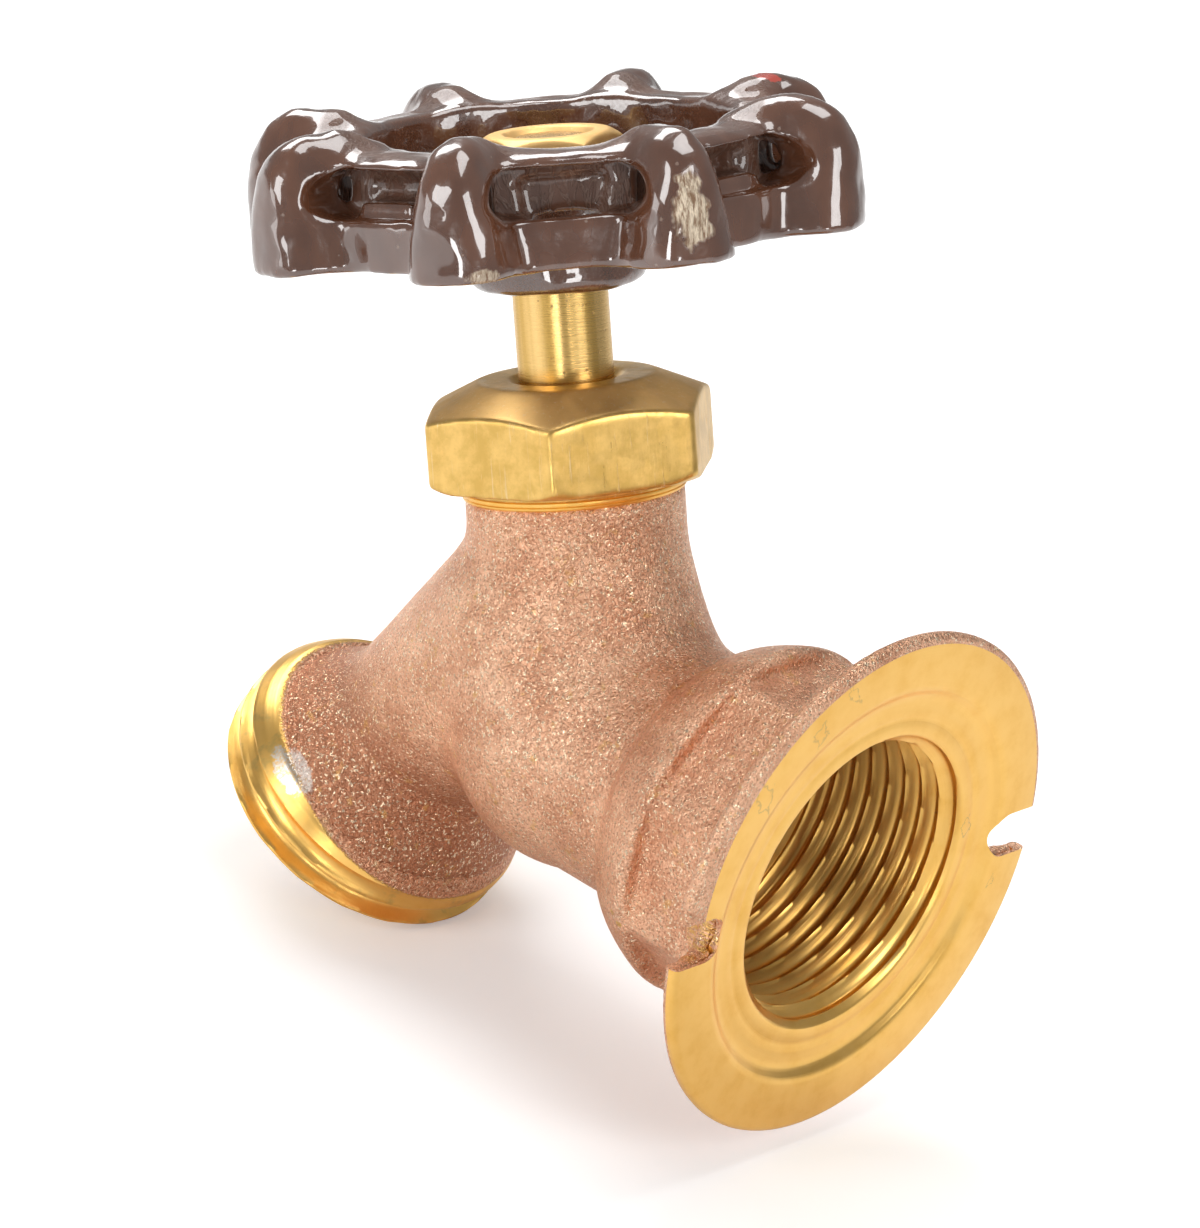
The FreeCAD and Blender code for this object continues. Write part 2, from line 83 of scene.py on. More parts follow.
hoseOut = Vector(hoseMount["axis"]).normalized()
hoseRoot = stemFoot + stemUp * outletCross
hosePlace = placeAlong(hoseRoot, (0, 1, 0), hoseOut)

inletPlace = placeAlong((0, 0, 0), (1, 0, 0), (0, 1, 0))


# Camera: where the photograph was taken from, in millimetres
cameraSet = {
    "at": (373.9, 257.3, 225.8),
    "right": (-0.666, 0.722, 0.187),
    "up": (-0.196, -0.411, 0.890),
    "lens": 188.7,
    "sensor": 36.0,
}


def makeCamera():
    data = bpy.data.cameras.new("camera")
    data.lens = cameraSet["lens"]
    data.sensor_width = cameraSet["sensor"]
    data.sensor_fit = "HORIZONTAL"
    data.clip_start = 0.01
    data.clip_end = 20.0
    camera = bpy.data.objects.new("camera", data)
    right = Vector(cameraSet["right"]).normalized()
    up = Vector(cameraSet["up"])
    up = (up - right * up.dot(right)).normalized()
    matrix = Matrix((right, up, right.cross(up))).transposed().to_4x4()
    matrix.translation = Vector(cameraSet["at"]) * mm
    camera.matrix_world = matrix
    bpy.context.scene.collection.objects.link(camera)
    bpy.context.scene.camera = camera


makeCamera()
print("camera set")


# A value that varies over space, made of math nodes in one tree
class Field:
    def __init__(self, tree, socket):
        self.tree = tree
        self.socket = socket

    def __add__(self, other):
        return mathNode("ADD", self, other)

    def __radd__(self, other):
        return mathNode("ADD", other, self)

    def __sub__(self, other):
        return mathNode("SUBTRACT", self, other)

    def __rsub__(self, other):
        return mathNode("SUBTRACT", other, self)

    def __mul__(self, other):
        return mathNode("MULTIPLY", self, other)

    def __truediv__(self, other):
        return mathNode("DIVIDE", self, other)

    def __rtruediv__(self, other):
        return mathNode("DIVIDE", other, self)

    def __neg__(self):
        return mathNode("MULTIPLY", self, -1.0)

    def __abs__(self):
        return mathNode("ABSOLUTE", self)

    def __pow__(self, other):
        return mathNode("POWER", self, other)


def treeOf(values):
    return next(value.tree for value in values if isinstance(value, Field))


def feed(socket, value):
    if isinstance(value, Field):
        value.tree.links.new(value.socket, socket)
    else:
        socket.default_value = value


def nodeFed(kind, values):
    node = treeOf(values).nodes.new(kind)
    for socket, value in zip(node.inputs, values):
        feed(socket, value)
    return node


def mathNode(operation, *values):
    node = nodeFed("ShaderNodeMath", values)
    node.operation = operation
    return Field(node.id_data, node.outputs[0])


def vectorNode(operation, *values, scale=None):
    node = nodeFed("ShaderNodeVectorMath", values)
    node.operation = operation
    if scale is not None:
        feed(node.inputs["Scale"], scale)
    number = operation in ("DOT_PRODUCT", "LENGTH", "DISTANCE")
    return Field(node.id_data, node.outputs["Value" if number else "Vector"])


def least(a, b):
    return mathNode("MINIMUM", a, b)


def most(a, b):
    return mathNode("MAXIMUM", a, b)


# Two fields as one, or one cut by the other, with a soft seam of the given width
def blendLeast(a, b, width):
    return mathNode("SMOOTH_MIN", a, b, width)


def blendMost(a, b, width):
    return mathNode("SMOOTH_MAX", a, b, width)


def hypot(a, b):
    return mathNode("SQRT", a * a + b * b)


# Below zero between the two values
def within(value, low, high):
    return abs(value - (low + high) / 2) - (high - low) / 2


# The point's three coordinates at a place
def along(point, place):
    origin = place.translation
    offset = vectorNode("SUBTRACT", point, tuple(origin))
    parts = []
    for k in range(3):
        axis = place.col[k].to_3d()
        parts.append(vectorNode("DOT_PRODUCT", offset, tuple(axis)))
    return parts


def joined(x, y, z):
    node = nodeFed("ShaderNodeCombineXYZ", (x, y, z))
    return Field(node.id_data, node.outputs[0])


# One tree for each shape that is the skin of a field, inside where the field is below
# zero. Every size of the piece is an input of its tree.
def startShape(name, sizes):
    tree = bpy.data.node_groups.new(name, "GeometryNodeTree")
    tree.interface.new_socket("Geometry", in_out="OUTPUT", socket_type="NodeSocketGeometry")
    for label, value in sizes.items():
        socket = tree.interface.new_socket(label, in_out="INPUT", socket_type="NodeSocketFloat")
        socket.default_value = value
    entry = tree.nodes.new("NodeGroupInput")
    fields = {label: Field(tree, entry.outputs[label]) for label in sizes}
    point = Field(tree, tree.nodes.new("GeometryNodeInputPosition").outputs[0])
    return tree, fields, point


def finishShape(tree, shape, low, high, grain, material, blurs=1):
    level = 50.0            # keeps the iso level away from zero
    cube = tree.nodes.new("GeometryNodeVolumeCube")
    feed(cube.inputs["Density"], level - shape)
    cube.inputs["Min"].default_value = low
    cube.inputs["Max"].default_value = high
    for letter, start, end in zip("XYZ", low, high):
        feed(cube.inputs["Resolution " + letter], (end - start) / grain)
    skin = tree.nodes.new("GeometryNodeVolumeToMesh")
    skin.inputs["Threshold"].default_value = level
    here = tree.nodes.new("GeometryNodeInputPosition")
    blur = tree.nodes.new("GeometryNodeBlurAttribute")
    blur.data_type = "FLOAT_VECTOR"
    blur.inputs["Iterations"].default_value = blurs
    move = tree.nodes.new("GeometryNodeSetPosition")
    tree.links.new(here.outputs[0], blur.inputs[0])
    tree.links.new(blur.outputs[0], move.inputs["Position"])
    shade = tree.nodes.new("GeometryNodeSetShadeSmooth")
    realize = tree.nodes.new("GeometryNodeRealizeInstances")
    paint = tree.nodes.new("GeometryNodeSetMaterial")
    paint.inputs["Material"].default_value = material
    leave = tree.nodes.new("NodeGroupOutput")
    chain = (cube, skin, move, shade, realize, paint, leave)
    for node, following in zip(chain, chain[1:]):
        tree.links.new(node.outputs[0], following.inputs[0])


def addPiece(name, mesh, body, place, replaced):
    mesh.transform(Matrix.Scale(mm, 4) @ place)
    mesh.update()
    piece = bpy.data.objects.new(name, mesh)
    bpy.context.scene.collection.objects.link(piece)
    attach(piece, body)
    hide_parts(*replaced)
    faces = sum(len(face.vertices) - 2 for face in mesh.polygons)
    print(name, "has", faces, "triangles")


def meshOfShape(name, tree, sizes):
    holder = bpy.data.objects.new(name + "Holder", bpy.data.meshes.new(name + "Holder"))
    bpy.context.scene.collection.objects.link(holder)
    modifier = holder.modifiers.new("shape", "NODES")
    modifier.node_group = tree
    for item in tree.interface.items_tree:
        if item.item_type == "SOCKET" and item.in_out == "INPUT":
            modifier[item.identifier] = sizes[item.name]
    graph = bpy.context.evaluated_depsgraph_get()
    mesh = bpy.data.meshes.new_from_object(holder.evaluated_get(graph), depsgraph=graph)
    mesh.name = name
    bpy.data.objects.remove(holder)
    return mesh


sharpAngle = math.radians(38)       # edges that fold more than this stay sharp


# Doubles merged and faces turned outwards
def cleaned(mesh):
    work = bmesh.new()
    work.from_mesh(mesh)
    bmesh.ops.remove_doubles(work, verts=work.verts, dist=1e-5)
    bmesh.ops.recalc_face_normals(work, faces=work.faces)
    work.to_mesh(mesh)
    work.free()
    return mesh


# A skin turned round an axis. The outline is a closed loop of (radius, height) points,
# and shapeRadius may change the radius round the turn.
def turnedMesh(name, outline, steps, material, shapeRadius=None):
    ring = np.array(outline, float)
    angles = np.arange(steps) * (2 * math.pi / steps)
    radius = np.repeat(ring[:, 0][:, None], steps, axis=1)
    height = np.repeat(ring[:, 1][:, None], steps, axis=1)
    if shapeRadius is not None:
        radius = shapeRadius(radius, height, angles[None, :])
    spots = np.stack([radius * np.cos(angles), radius * np.sin(angles), height], axis=-1)
    rows = len(ring)
    faces = []
    for row in range(rows):
        here = row * steps
        there = (row + 1) % rows * steps
        for k in range(steps):
            n = (k + 1) % steps
            faces.append((here + k, here + n, there + n, there + k))
    mesh = bpy.data.meshes.new(name)
    mesh.from_pydata(spots.reshape(-1, 3).tolist(), [], faces)
    mesh.materials.append(material)
    cleaned(mesh)
    mesh.shade_smooth()
    mesh.set_sharp_from_angle(angle=sharpAngle)
    return mesh


coarseStep = 9.0        # longest straight run on a turned skin


# Points are (radius, height), with a third number where the points that fill the run to
# the next one stand closer than the coarse step
def fineOutline(points):
    ring = []
    for point, following in zip(points, points[1:] + points[:1]):
        start, end = point[:2], following[:2]
        step = point[2] if len(point) == 3 else coarseStep
        count = math.ceil(math.dist(start, end) / step)
        for k in range(count):
            share = k / count
            ring.append([first + (last - first) * share for first, last in zip(start, end)])
    return ring


diagonal = 0.7071       # half the square root of two


def clamped(value):
    return least(most(value, 0.0), 1.0)


def roundedBox(x, y, halfX, halfY, corner):
    overX = abs(x) - halfX + corner
    overY = abs(y) - halfY + corner
    outside = hypot(most(overX, 0.0), most(overY, 0.0))
    return outside + least(most(overX, overY), 0.0) - corner


def hexagon(x, y, across, turn, soft):
    sides = None
    for k in range(3):
        angle = (turn + (30 + 60 * k)) * math.radians(1)
        side = abs(x * mathNode("COSINE", angle) + y * mathNode("SINE", angle))
        sides = side if sides is None else blendMost(sides, side, soft)
    return sides - across / 2


def noise(point, scale, detail=2.0, rough=0.5, bend=0.0):
    node = point.tree.nodes.new("ShaderNodeTexNoise")
    feed(node.inputs["Vector"], point)
    feed(node.inputs["Scale"], scale)
    feed(node.inputs["Detail"], detail)
    feed(node.inputs["Roughness"], rough)
    feed(node.inputs["Distortion"], bend)
    return Field(point.tree, node.outputs[0])


def cells(point, scale):
    node = point.tree.nodes.new("ShaderNodeTexVoronoi")
    feed(node.inputs["Vector"], point)
    feed(node.inputs["Scale"], scale)
    return Field(point.tree, node.outputs["Distance"])


def stretched(point, x, y, z):
    return vectorNode("MULTIPLY", point, (x, y, z))


def ramp(value, low, high, first=0.0, last=1.0):
    node = value.tree.nodes.new("ShaderNodeMapRange")
    node.interpolation_type = "SMOOTHSTEP"
    for k, number in enumerate((value, low, high, first, last)):
        feed(node.inputs[k], number)
    return Field(value.tree, node.outputs[0])


def colour(red, green, blue):
    return (red, green, blue, 1.0)


def mixed(share, first, second):
    tree = treeOf((share, first, second))
    node = tree.nodes.new("ShaderNodeMix")
    node.data_type = "RGBA"             # its colour sockets are 6, 7 and, going out, 2
    feed(node.inputs[0], share)
    feed(node.inputs[6], first)
    feed(node.inputs[7], second)
    return Field(tree, node.outputs[2])


# Finishes. Each reads Object coordinates, turned into millimetres.
def startFinish(name, metallic):
    material = bpy.data.materials.new(name)
    material.use_nodes = True
    tree = material.node_tree
    shader = tree.nodes["Principled BSDF"]
    shader.inputs["Metallic"].default_value = metallic
    where = tree.nodes.new("ShaderNodeTexCoord")
    point = vectorNode("SCALE", Field(tree, where.outputs["Object"]), scale=1 / mm)
    return material, shader, point


def bumped(shader, height, distance):
    node = height.tree.nodes.new("ShaderNodeBump")
    node.inputs["Strength"].default_value = 1.0
    node.inputs["Distance"].default_value = distance * mm
    feed(node.inputs["Height"], height)
    feed(shader.inputs["Normal"], Field(height.tree, node.outputs[0]))


def startGroup(name, inputs):
    tree = bpy.data.node_groups.new(name, "ShaderNodeTree")
    tree.interface.new_socket("Point", in_out="INPUT", socket_type="NodeSocketVector")
    for label, value in inputs.items():
        socket = tree.interface.new_socket(label, in_out="INPUT", socket_type="NodeSocketFloat")
        socket.default_value = value
    entry = tree.nodes.new("NodeGroupInput")
    point = Field(tree, entry.outputs["Point"])
    return tree, point, {label: Field(tree, entry.outputs[label]) for label in inputs}


def finishGroup(tree, outputs):
    leave = tree.nodes.new("NodeGroupOutput")
    for label in outputs:
        tree.interface.new_socket(label, in_out="OUTPUT", socket_type="NodeSocketFloat")
    for label, value in outputs.items():
        feed(leave.inputs[label], value)
    return tree


def useGroup(group, point, **values):
    node = point.tree.nodes.new("ShaderNodeGroup")
    node.node_tree = group
    feed(node.inputs["Point"], point)
    for label, value in values.items():
        feed(node.inputs[label], value)
    return {socket.name: Field(point.tree, socket) for socket in node.outputs}


# Sand-cast skin: worm-like grain, a sparkle mask for painted glints on single grains, and soft dents
def makeCastGrain():
    tree, point, size = startGroup("castGrain", {"Scale": 1.0})
    swirl = noise(point, size["Scale"] * 2.1, 2.0, 0.5, 0.9)
    ridges = ramp(abs(swirl - 0.5), 0.0, 0.13, 1.0, 0.0)
    fine = noise(point, size["Scale"] * 4.6, 2.0, 0.6)
    dents = noise(point, size["Scale"] * 0.5, 2.0, 0.5)
    height = ridges * 0.42 + fine * 0.62 + dents * 1.1
    sparkle = ramp(noise(point, size["Scale"] * 4.0, 1.0, 0.5), 0.57, 0.67)
    return finishGroup(tree, {"Height": height, "Fine": fine, "Sparkle": sparkle})


# Stains: pools with a soft edge, dark specks and a broad mottle
def makeStains():
    tree, point, size = startGroup("stains", {"Scale": 1.0})
    pools = noise(point, size["Scale"] * 0.09, 3.0, 0.6, 0.8)
    inside = ramp(pools, 0.50, 0.56)
    specks = ramp(cells(point, size["Scale"] * 0.55), 0.05, 0.11, 1.0, 0.0)
    mottle = noise(point, size["Scale"] * 0.22, 4.0, 0.65)
    return finishGroup(tree, {"Inside": inside, "Specks": specks, "Mottle": mottle})


# Tool lines: the point's own third axis is the axis that they go round
def makeToolLines():
    tree, point, size = startGroup("toolLines", {"Pitch": 0.12})
    parts = tree.nodes.new("ShaderNodeSeparateXYZ")
    feed(parts.inputs[0], point)
    x, y, z = (Field(tree, socket) for socket in parts.outputs)
    wide = hypot(x, y)
    across = joined(wide / size["Pitch"], z / size["Pitch"], 0.0)
    lines = noise(across, 1.0, 2.0, 0.7)
    broad = noise(across, 0.13, 2.0, 0.5)
    return finishGroup(tree, {"Lines": lines, "Broad": broad})


castGrain = makeCastGrain()
stains = makeStains()
toolLines = makeToolLines()

bronzeSet = {
    "bright": colour(1.0, 0.61, 0.40),
    "deep": colour(0.76, 0.39, 0.235),
    "shaded": colour(0.44, 0.17, 0.085),
    "hollow": colour(0.38, 0.15, 0.08),
    "glint": colour(1.0, 0.80, 0.56),
    "gold": colour(0.80, 0.48, 0.14),
    "smear": colour(0.86, 0.80, 0.74),
    "roughness": 0.34,
    "bump": 0.17,
    "shadeFrom": 17.0,      # down the outlet
    "shadeTo": 27.0,
    "shadeShare": 0.8,
    "goldShare": 0.45,
    "glintShare": 0.85,
    "bareShare": 0.85,
    "smearShare": 0.75,
}

# Places of single marks, in millimetres: centre and half sizes
markSet = {
    "smear": ((-1.5, 12.0, 29.6), (2.8, 1.7, 1.3)),
    "nickUpper": ((14.4, -13.2, -5.2), (0.9, 0.32, 0.3)),
    "nickLower": ((14.0, -12.4, -5.9), (0.9, 0.38, 0.3)),
    "notchScrape": ((16.6, -3.4, -1.6), (4.2, 3.4, 3.2)),
    "chip": ((23.9, -10.1, 45.9), (1.7, 1.6, 2.7)),
    "smallChip": ((12.2, -21.9, 42.2), (1.7, 1.4, 0.8)),
    "redSpot": ((7.8, 18.3, 52.5), (1.5, 0.9, 1.4)),
}


# 1 inside a ragged spot, 0 outside
def spot(point, name, ragged=0.5, scale=1.1):
    centre, half = markSet[name]
    away = vectorNode("DIVIDE", vectorNode("SUBTRACT", point, centre), half)
    reach = vectorNode("LENGTH", away) + (noise(point, scale, 3.0, 0.6) - 0.5) * ragged * 2.0
    return ramp(reach, 0.8, 1.05, 1.0, 0.0)


def makeCastBronze():
    material, shader, point = startFinish("castBronze", 1.0)
    grain = useGroup(castGrain, point, Scale=1.0)
    dirt = useGroup(stains, point, Scale=1.0)
    u, v, down = along(point, hosePlace)
    tone = ramp(dirt["Mottle"], 0.3, 0.7)
    base = mixed(tone, bronzeSet["deep"], bronzeSet["bright"])
    # painted shade: darker in the grain's low spots
    base = mixed(ramp(grain["Fine"], 0.32, 0.52, 0.6, 0.0), base, bronzeSet["hollow"])
    shade = ramp(down, bronzeSet["shadeFrom"], bronzeSet["shadeTo"], 0.0, bronzeSet["shadeShare"])
    base = mixed(shade, base, bronzeSet["shaded"])
    golden = ramp(noise(point, 0.75, 3.0, 0.6), 0.60, 0.72)
    base = mixed(golden * bronzeSet["goldShare"], base, bronzeSet["gold"])
    # painted glints: light specks on single grains stand in for highlights
    base = mixed(grain["Sparkle"] * bronzeSet["glintShare"], base, bronzeSet["glint"])
    scrape = noise(stretched(point, 0.9, 0.9, 4.5), 1.0, 3.0, 0.6)
    bare = most(spot(point, "nickUpper"), spot(point, "nickLower"))
    bare = most(bare, spot(point, "notchScrape") * ramp(scrape, 0.40, 0.56))
    base = mixed(bare * bronzeSet["bareShare"], base, bronzeSet["gold"])
    white = spot(joined(u, v, down), "smear") * ramp(grain["Fine"], 0.30, 0.55, 0.35, 1.0)
    base = mixed(white * bronzeSet["smearShare"], base, bronzeSet["smear"])
    feed(shader.inputs["Base Color"], base)
    feed(shader.inputs["Metallic"], 1.0 - white * 0.6)
    rough = bronzeSet["roughness"] + grain["Fine"] * 0.14 - grain["Sparkle"] * 0.18 - bare * 0.1
    feed(shader.inputs["Roughness"], rough)
    bumped(shader, grain["Height"], bronzeSet["bump"])
    return material


goldSet = {
    "bright": colour(1.0, 0.61, 0.175),
    "deep": colour(0.88, 0.48, 0.09),
    "stain": colour(0.50, 0.34, 0.14),
    "bore": colour(0.48, 0.27, 0.07),
    "patina": colour(0.46, 0.36, 0.14),
    "roughness": 0.25,
    "bump": 0.012,
    "dropShare": 0.6,
    "wornShare": 0.35,
    "castEdge": 29.4,       # height on the outlet where the cast skin ends, and its rise
    "castRise": 2.0,
    # dried drops on the flange: x, z, half width, half height, turn
    "drops": (
        (15.7, 12.0, 0.9, 1.5, -35.0),
        (10.1, 16.2, 0.9, 0.9, 10.0),
        (7.0, 19.1, 0.5, 1.1, -50.0),
        (-13.7, 1.8, 0.7, 0.9, 0.0),
        (-18.1, -4.1, 0.3, 0.5, 20.0),
    ),
}


# Outlines of dried drops on the flange's face
def driedDrops(point):
    x, y, z = along(point, Matrix())
    x = x + (noise(point, 0.8, 3.0, 0.6) - 0.5) * 2.0
    z = z + (noise(point, 1.04, 3.0, 0.6) - 0.5) * 2.0
    marks = None
    for atX, atZ, halfX, halfZ, turn in goldSet["drops"]:
        cosine, sine = math.cos(math.radians(turn)), math.sin(math.radians(turn))
        across = ((x - atX) * cosine + (z - atZ) * sine) / halfX
        height = ((z - atZ) * cosine - (x - atX) * sine) / halfZ
        edge = ramp(abs(abs(across) + abs(height) * 0.8 - 1.0), 0.0, 0.22, 1.0, 0.0)
        marks = edge if marks is None else most(marks, edge)
    return marks


def makeMachined(name, place, pitch, brighter=0.0, drops=False, castEdge=False):
    material, shader, point = startFinish(name, 1.0)
    u, v, down = along(point, place)
    own = joined(u, v, down)
    lines = useGroup(toolLines, own, Pitch=pitch)
    dirt = useGroup(stains, point, Scale=1.6)
    tone = ramp(dirt["Mottle"] + lines["Broad"] * 0.3 + brighter, 0.3, 0.9)
    base = mixed(tone, goldSet["deep"], goldSet["bright"])
    base = mixed(dirt["Specks"] * 0.2, base, goldSet["deep"])
    height = lines["Lines"]
    rough = goldSet["roughness"] + lines["Lines"] * 0.12 + dirt["Inside"] * 0.05
    if drops:
        # painted shade: darker deeper in the bore
        base = mixed(ramp(down, -9.0, -2.0, 0.6, 0.0), base, goldSet["bore"])
        base = mixed(driedDrops(point) * goldSet["dropShare"], base, goldSet["stain"])
    if castEdge:
        # the tool ran a little off centre, so cast skin is left on one side of the band
        grain = useGroup(castGrain, point, Scale=1.0)
        edge = goldSet["castEdge"] + clamped((u + 1.0) / 13.0) * goldSet["castRise"]
        edge = edge + (grain["Fine"] - 0.5) * 0.4
        skin = ramp(down - edge, -0.1, 0.1, 1.0, 0.0)
        # painted shade in the low spots of the cast skin's grain
        crust = mixed(ramp(grain["Fine"], 0.3, 0.6), bronzeSet["shaded"], bronzeSet["deep"])
        # painted glints on the cast skin's single grains
        crust = mixed(grain["Sparkle"] * 0.6, crust, bronzeSet["glint"])
        base = mixed(skin, base, crust)
        smear = spot(own, "smear", 0.8) * ramp(grain["Fine"], 0.35, 0.6, 0.25, 0.9)
        base = mixed(smear, base, bronzeSet["smear"])
        worn = ramp(noise(own, 0.45, 3.0, 0.6), 0.56, 0.68)
        base = mixed(worn * goldSet["wornShare"], base, goldSet["patina"])
        height = height + skin * grain["Height"] * 12.0
    feed(shader.inputs["Base Color"], base)
    feed(shader.inputs["Roughness"], rough)
    bumped(shader, height, goldSet["bump"])
    return material


drawnSet = {
    "bright": colour(0.90, 0.585, 0.19),
    "deep": colour(0.62, 0.38, 0.09),
    "litRose": colour(0.94, 0.62, 0.27),
    "scratch": colour(0.95, 0.80, 0.52),
    "roughness": 0.22,
    "coneRoughness": 0.2,
    "bump": 0.012,
    "coneHeight": 28.4,     # a point of the cone and its slope
    "coneRadius": 10.8,
    "coneSlope": 0.456,
}


# Drawn bar with scratches that run along the stem, and turned lines on its cone
def makeDrawnBrass(name, deepShare=0.0):
    material, shader, point = startFinish(name, 1.0)
    a, b, t = along(point, stemPlace)
    own = joined(a, b, t)
    lines = useGroup(toolLines, own, Pitch=0.16)
    dirt = useGroup(stains, own, Scale=2.2)
    drawn = noise(stretched(own, 6.0, 6.0, 0.25), 1.0, 3.0, 0.6)
    scratch = ramp(noise(stretched(own, 3.1, 3.1, 0.10), 1.0, 4.0, 0.7, 0.4), 0.60, 0.66)
    above = t - drawnSet["coneHeight"] + (hypot(a, b) - drawnSet["coneRadius"]) * drawnSet["coneSlope"]
    cone = ramp(above, -0.25, 0.05)
    tone = ramp(dirt["Mottle"], 0.3, 0.72, 0.25 - deepShare, 1.0 - deepShare)
    base = mixed(tone, drawnSet["deep"], drawnSet["bright"])
    # the turned cone's own rose tint, made brighter as painted light on the cone
    base = mixed(cone * 0.8, base, drawnSet["litRose"])
    base = mixed(scratch * 0.35, base, drawnSet["scratch"])
    base = mixed(dirt["Specks"] * 0.35, base, drawnSet["deep"])
    feed(shader.inputs["Base Color"], base)
    grooves = drawn * (1.0 - cone) + lines["Lines"] * cone
    rough = drawnSet["roughness"] + grooves * 0.18 + dirt["Inside"] * 0.08
    feed(shader.inputs["Roughness"], rough + cone * drawnSet["coneRoughness"])
    bumped(shader, grooves + scratch * 0.8, drawnSet["bump"])
    return material


stemSet = {
    "bright": colour(0.94, 0.63, 0.25),
    "deep": colour(0.66, 0.41, 0.11),
    "pit": colour(0.32, 0.19, 0.09),
    "roughness": 0.2,
    "bump": 0.02,
    "shadeLow": 29.8,       # darker just above the packing nut
    "shadeHigh": 31.4,
}


def makeStemBrass():
    material, shader, point = startFinish("stemBrass", 1.0)
    a, b, t = along(point, stemPlace)
    own = joined(a, b, t)
    lines = useGroup(toolLines, own, Pitch=0.10)
    bands = noise(stretched(own, 0.9, 0.9, 0.03), 1.0, 2.0, 0.5)
    pits = ramp(cells(own, 0.85), 0.06, 0.13, 1.0, 0.0)
    dark = ramp(t, stemSet["shadeLow"], stemSet["shadeHigh"], 1.0, 0.0)
    base = mixed(ramp(bands, 0.3, 0.7), stemSet["deep"], stemSet["bright"])
    base = mixed(pits * 0.6, base, stemSet["pit"])
    base = mixed(dark * 0.5, base, stemSet["deep"])
    feed(shader.inputs["Base Color"], base)
    feed(shader.inputs["Roughness"], stemSet["roughness"] + lines["Lines"] * 0.16 + pits * 0.2)
    bumped(shader, lines["Lines"] * 0.5 - pits, stemSet["bump"])
    return material


enamelSet = {
    "base": colour(0.092, 0.031, 0.013),
    "light": colour(0.138, 0.051, 0.024),
    "dust": colour(0.30, 0.205, 0.155),
    "bare": colour(0.80, 0.68, 0.52),
    "bareDeep": colour(0.22, 0.12, 0.06),
    "red": colour(0.55, 0.045, 0.02),
    "roughness": 0.20,
    "coatRoughness": 0.02,
    "coatIor": 2.0,
    "bump": 0.24,
    "innerFrom": 15.7,      # radius where the inner wall's dust ends
    "innerTo": 16.5,
    "channelMiddle": 17.9,  # radius of the rim's channel, and where its dust fades out
    "channelFrom": 0.9,
    "channelTo": 1.5,
    "dustShare": 0.35,
    "veinShare": 0.25,
    "speckShare": 0.6,
    "redShare": 0.85,
}


# Thick brown enamel: a glossy coat over lumps and runs, veined inside the rim, with chips
def makeEnamel():
    material, shader, point = startFinish("wheelEnamel", 0.0)
    shader.inputs["Coat Roughness"].default_value = enamelSet["coatRoughness"]
    shader.inputs["Coat IOR"].default_value = enamelSet["coatIor"]
    a, b, t = along(point, stemPlace)
    own = joined(a, b, t)
    wide = hypot(a, b)
    lumps = noise(stretched(own, 1.0, 1.0, 0.6), 0.36, 2.0, 0.45)
    orange = noise(own, 1.6, 2.0, 0.5)
    grit = noise(own, 4.0, 3.0, 0.6)
    inner = ramp(wide, enamelSet["innerFrom"], enamelSet["innerTo"], 1.0, 0.0)
    fromMiddle = abs(wide - enamelSet["channelMiddle"])
    channel = ramp(fromMiddle, enamelSet["channelFrom"], enamelSet["channelTo"], 1.0, 0.0)
    swirl = noise(stretched(own, 1.0, 1.0, 0.35), 0.8, 3.0, 0.6, 1.4)
    veins = ramp(abs(swirl - 0.5), 0.0, 0.09, 1.0, 0.0)
    base = mixed(ramp(lumps, 0.3, 0.7), enamelSet["base"], enamelSet["light"])
    base = mixed(inner * ramp(grit, 0.5, 0.75) * enamelSet["dustShare"], base, enamelSet["dust"])
    base = mixed(channel * (0.05 + veins * enamelSet["veinShare"]), base, enamelSet["dust"])
    specks = ramp(cells(own, 0.55), 0.05, 0.10, 1.0, 0.0)
    base = mixed(specks * enamelSet["speckShare"], base, enamelSet["dust"])
    strokes = noise(stretched(own, 1.6, 1.6, 0.35), 2.2, 4.0, 0.7, 0.3)
    bright = ramp(strokes, 0.35, 0.65)
    bare = most(spot(own, "chip", 1.0, 0.35), spot(own, "smallChip", 0.8, 0.6) * 0.8)
    base = mixed(bare, base, mixed(bright, enamelSet["bareDeep"], enamelSet["bare"]))
    base = mixed(spot(own, "redSpot", 0.7) * enamelSet["redShare"], base, enamelSet["red"])
    feed(shader.inputs["Base Color"], base)
    feed(shader.inputs["Metallic"], bare * bright * 0.7)
    coat = 1.0 - channel * 0.5 - bare - inner * ramp(grit, 0.4, 0.7) * 0.3
    feed(shader.inputs["Coat Weight"], clamped(coat))
    rough = enamelSet["roughness"] + channel * 0.25 + bare * 0.15 + grit * 0.08
    feed(shader.inputs["Roughness"], rough)
    height = lumps + orange * 0.14 + specks * 0.15 + channel * veins * 0.25
    bumped(shader, height + bare * (strokes - 0.9) * 0.5, enamelSet["bump"])
    return material


rubberSet = {
    "base": colour(0.035, 0.035, 0.037),
    "worn": colour(0.10, 0.10, 0.10),
    "roughness": 0.6,
    "bump": 0.05,
}


def makeRubber(name, scale):
    material, shader, point = startFinish(name, 0.0)
    fibres = noise(stretched(point, 1.0, 1.0, 2.2), scale, 4.0, 0.7, 0.8)
    base = mixed(ramp(fibres, 0.4, 0.7), rubberSet["base"], rubberSet["worn"])
    feed(shader.inputs["Base Color"], base)
    feed(shader.inputs["Roughness"], rubberSet["roughness"] + fibres * 0.25)
    bumped(shader, fibres, rubberSet["bump"])
    return material


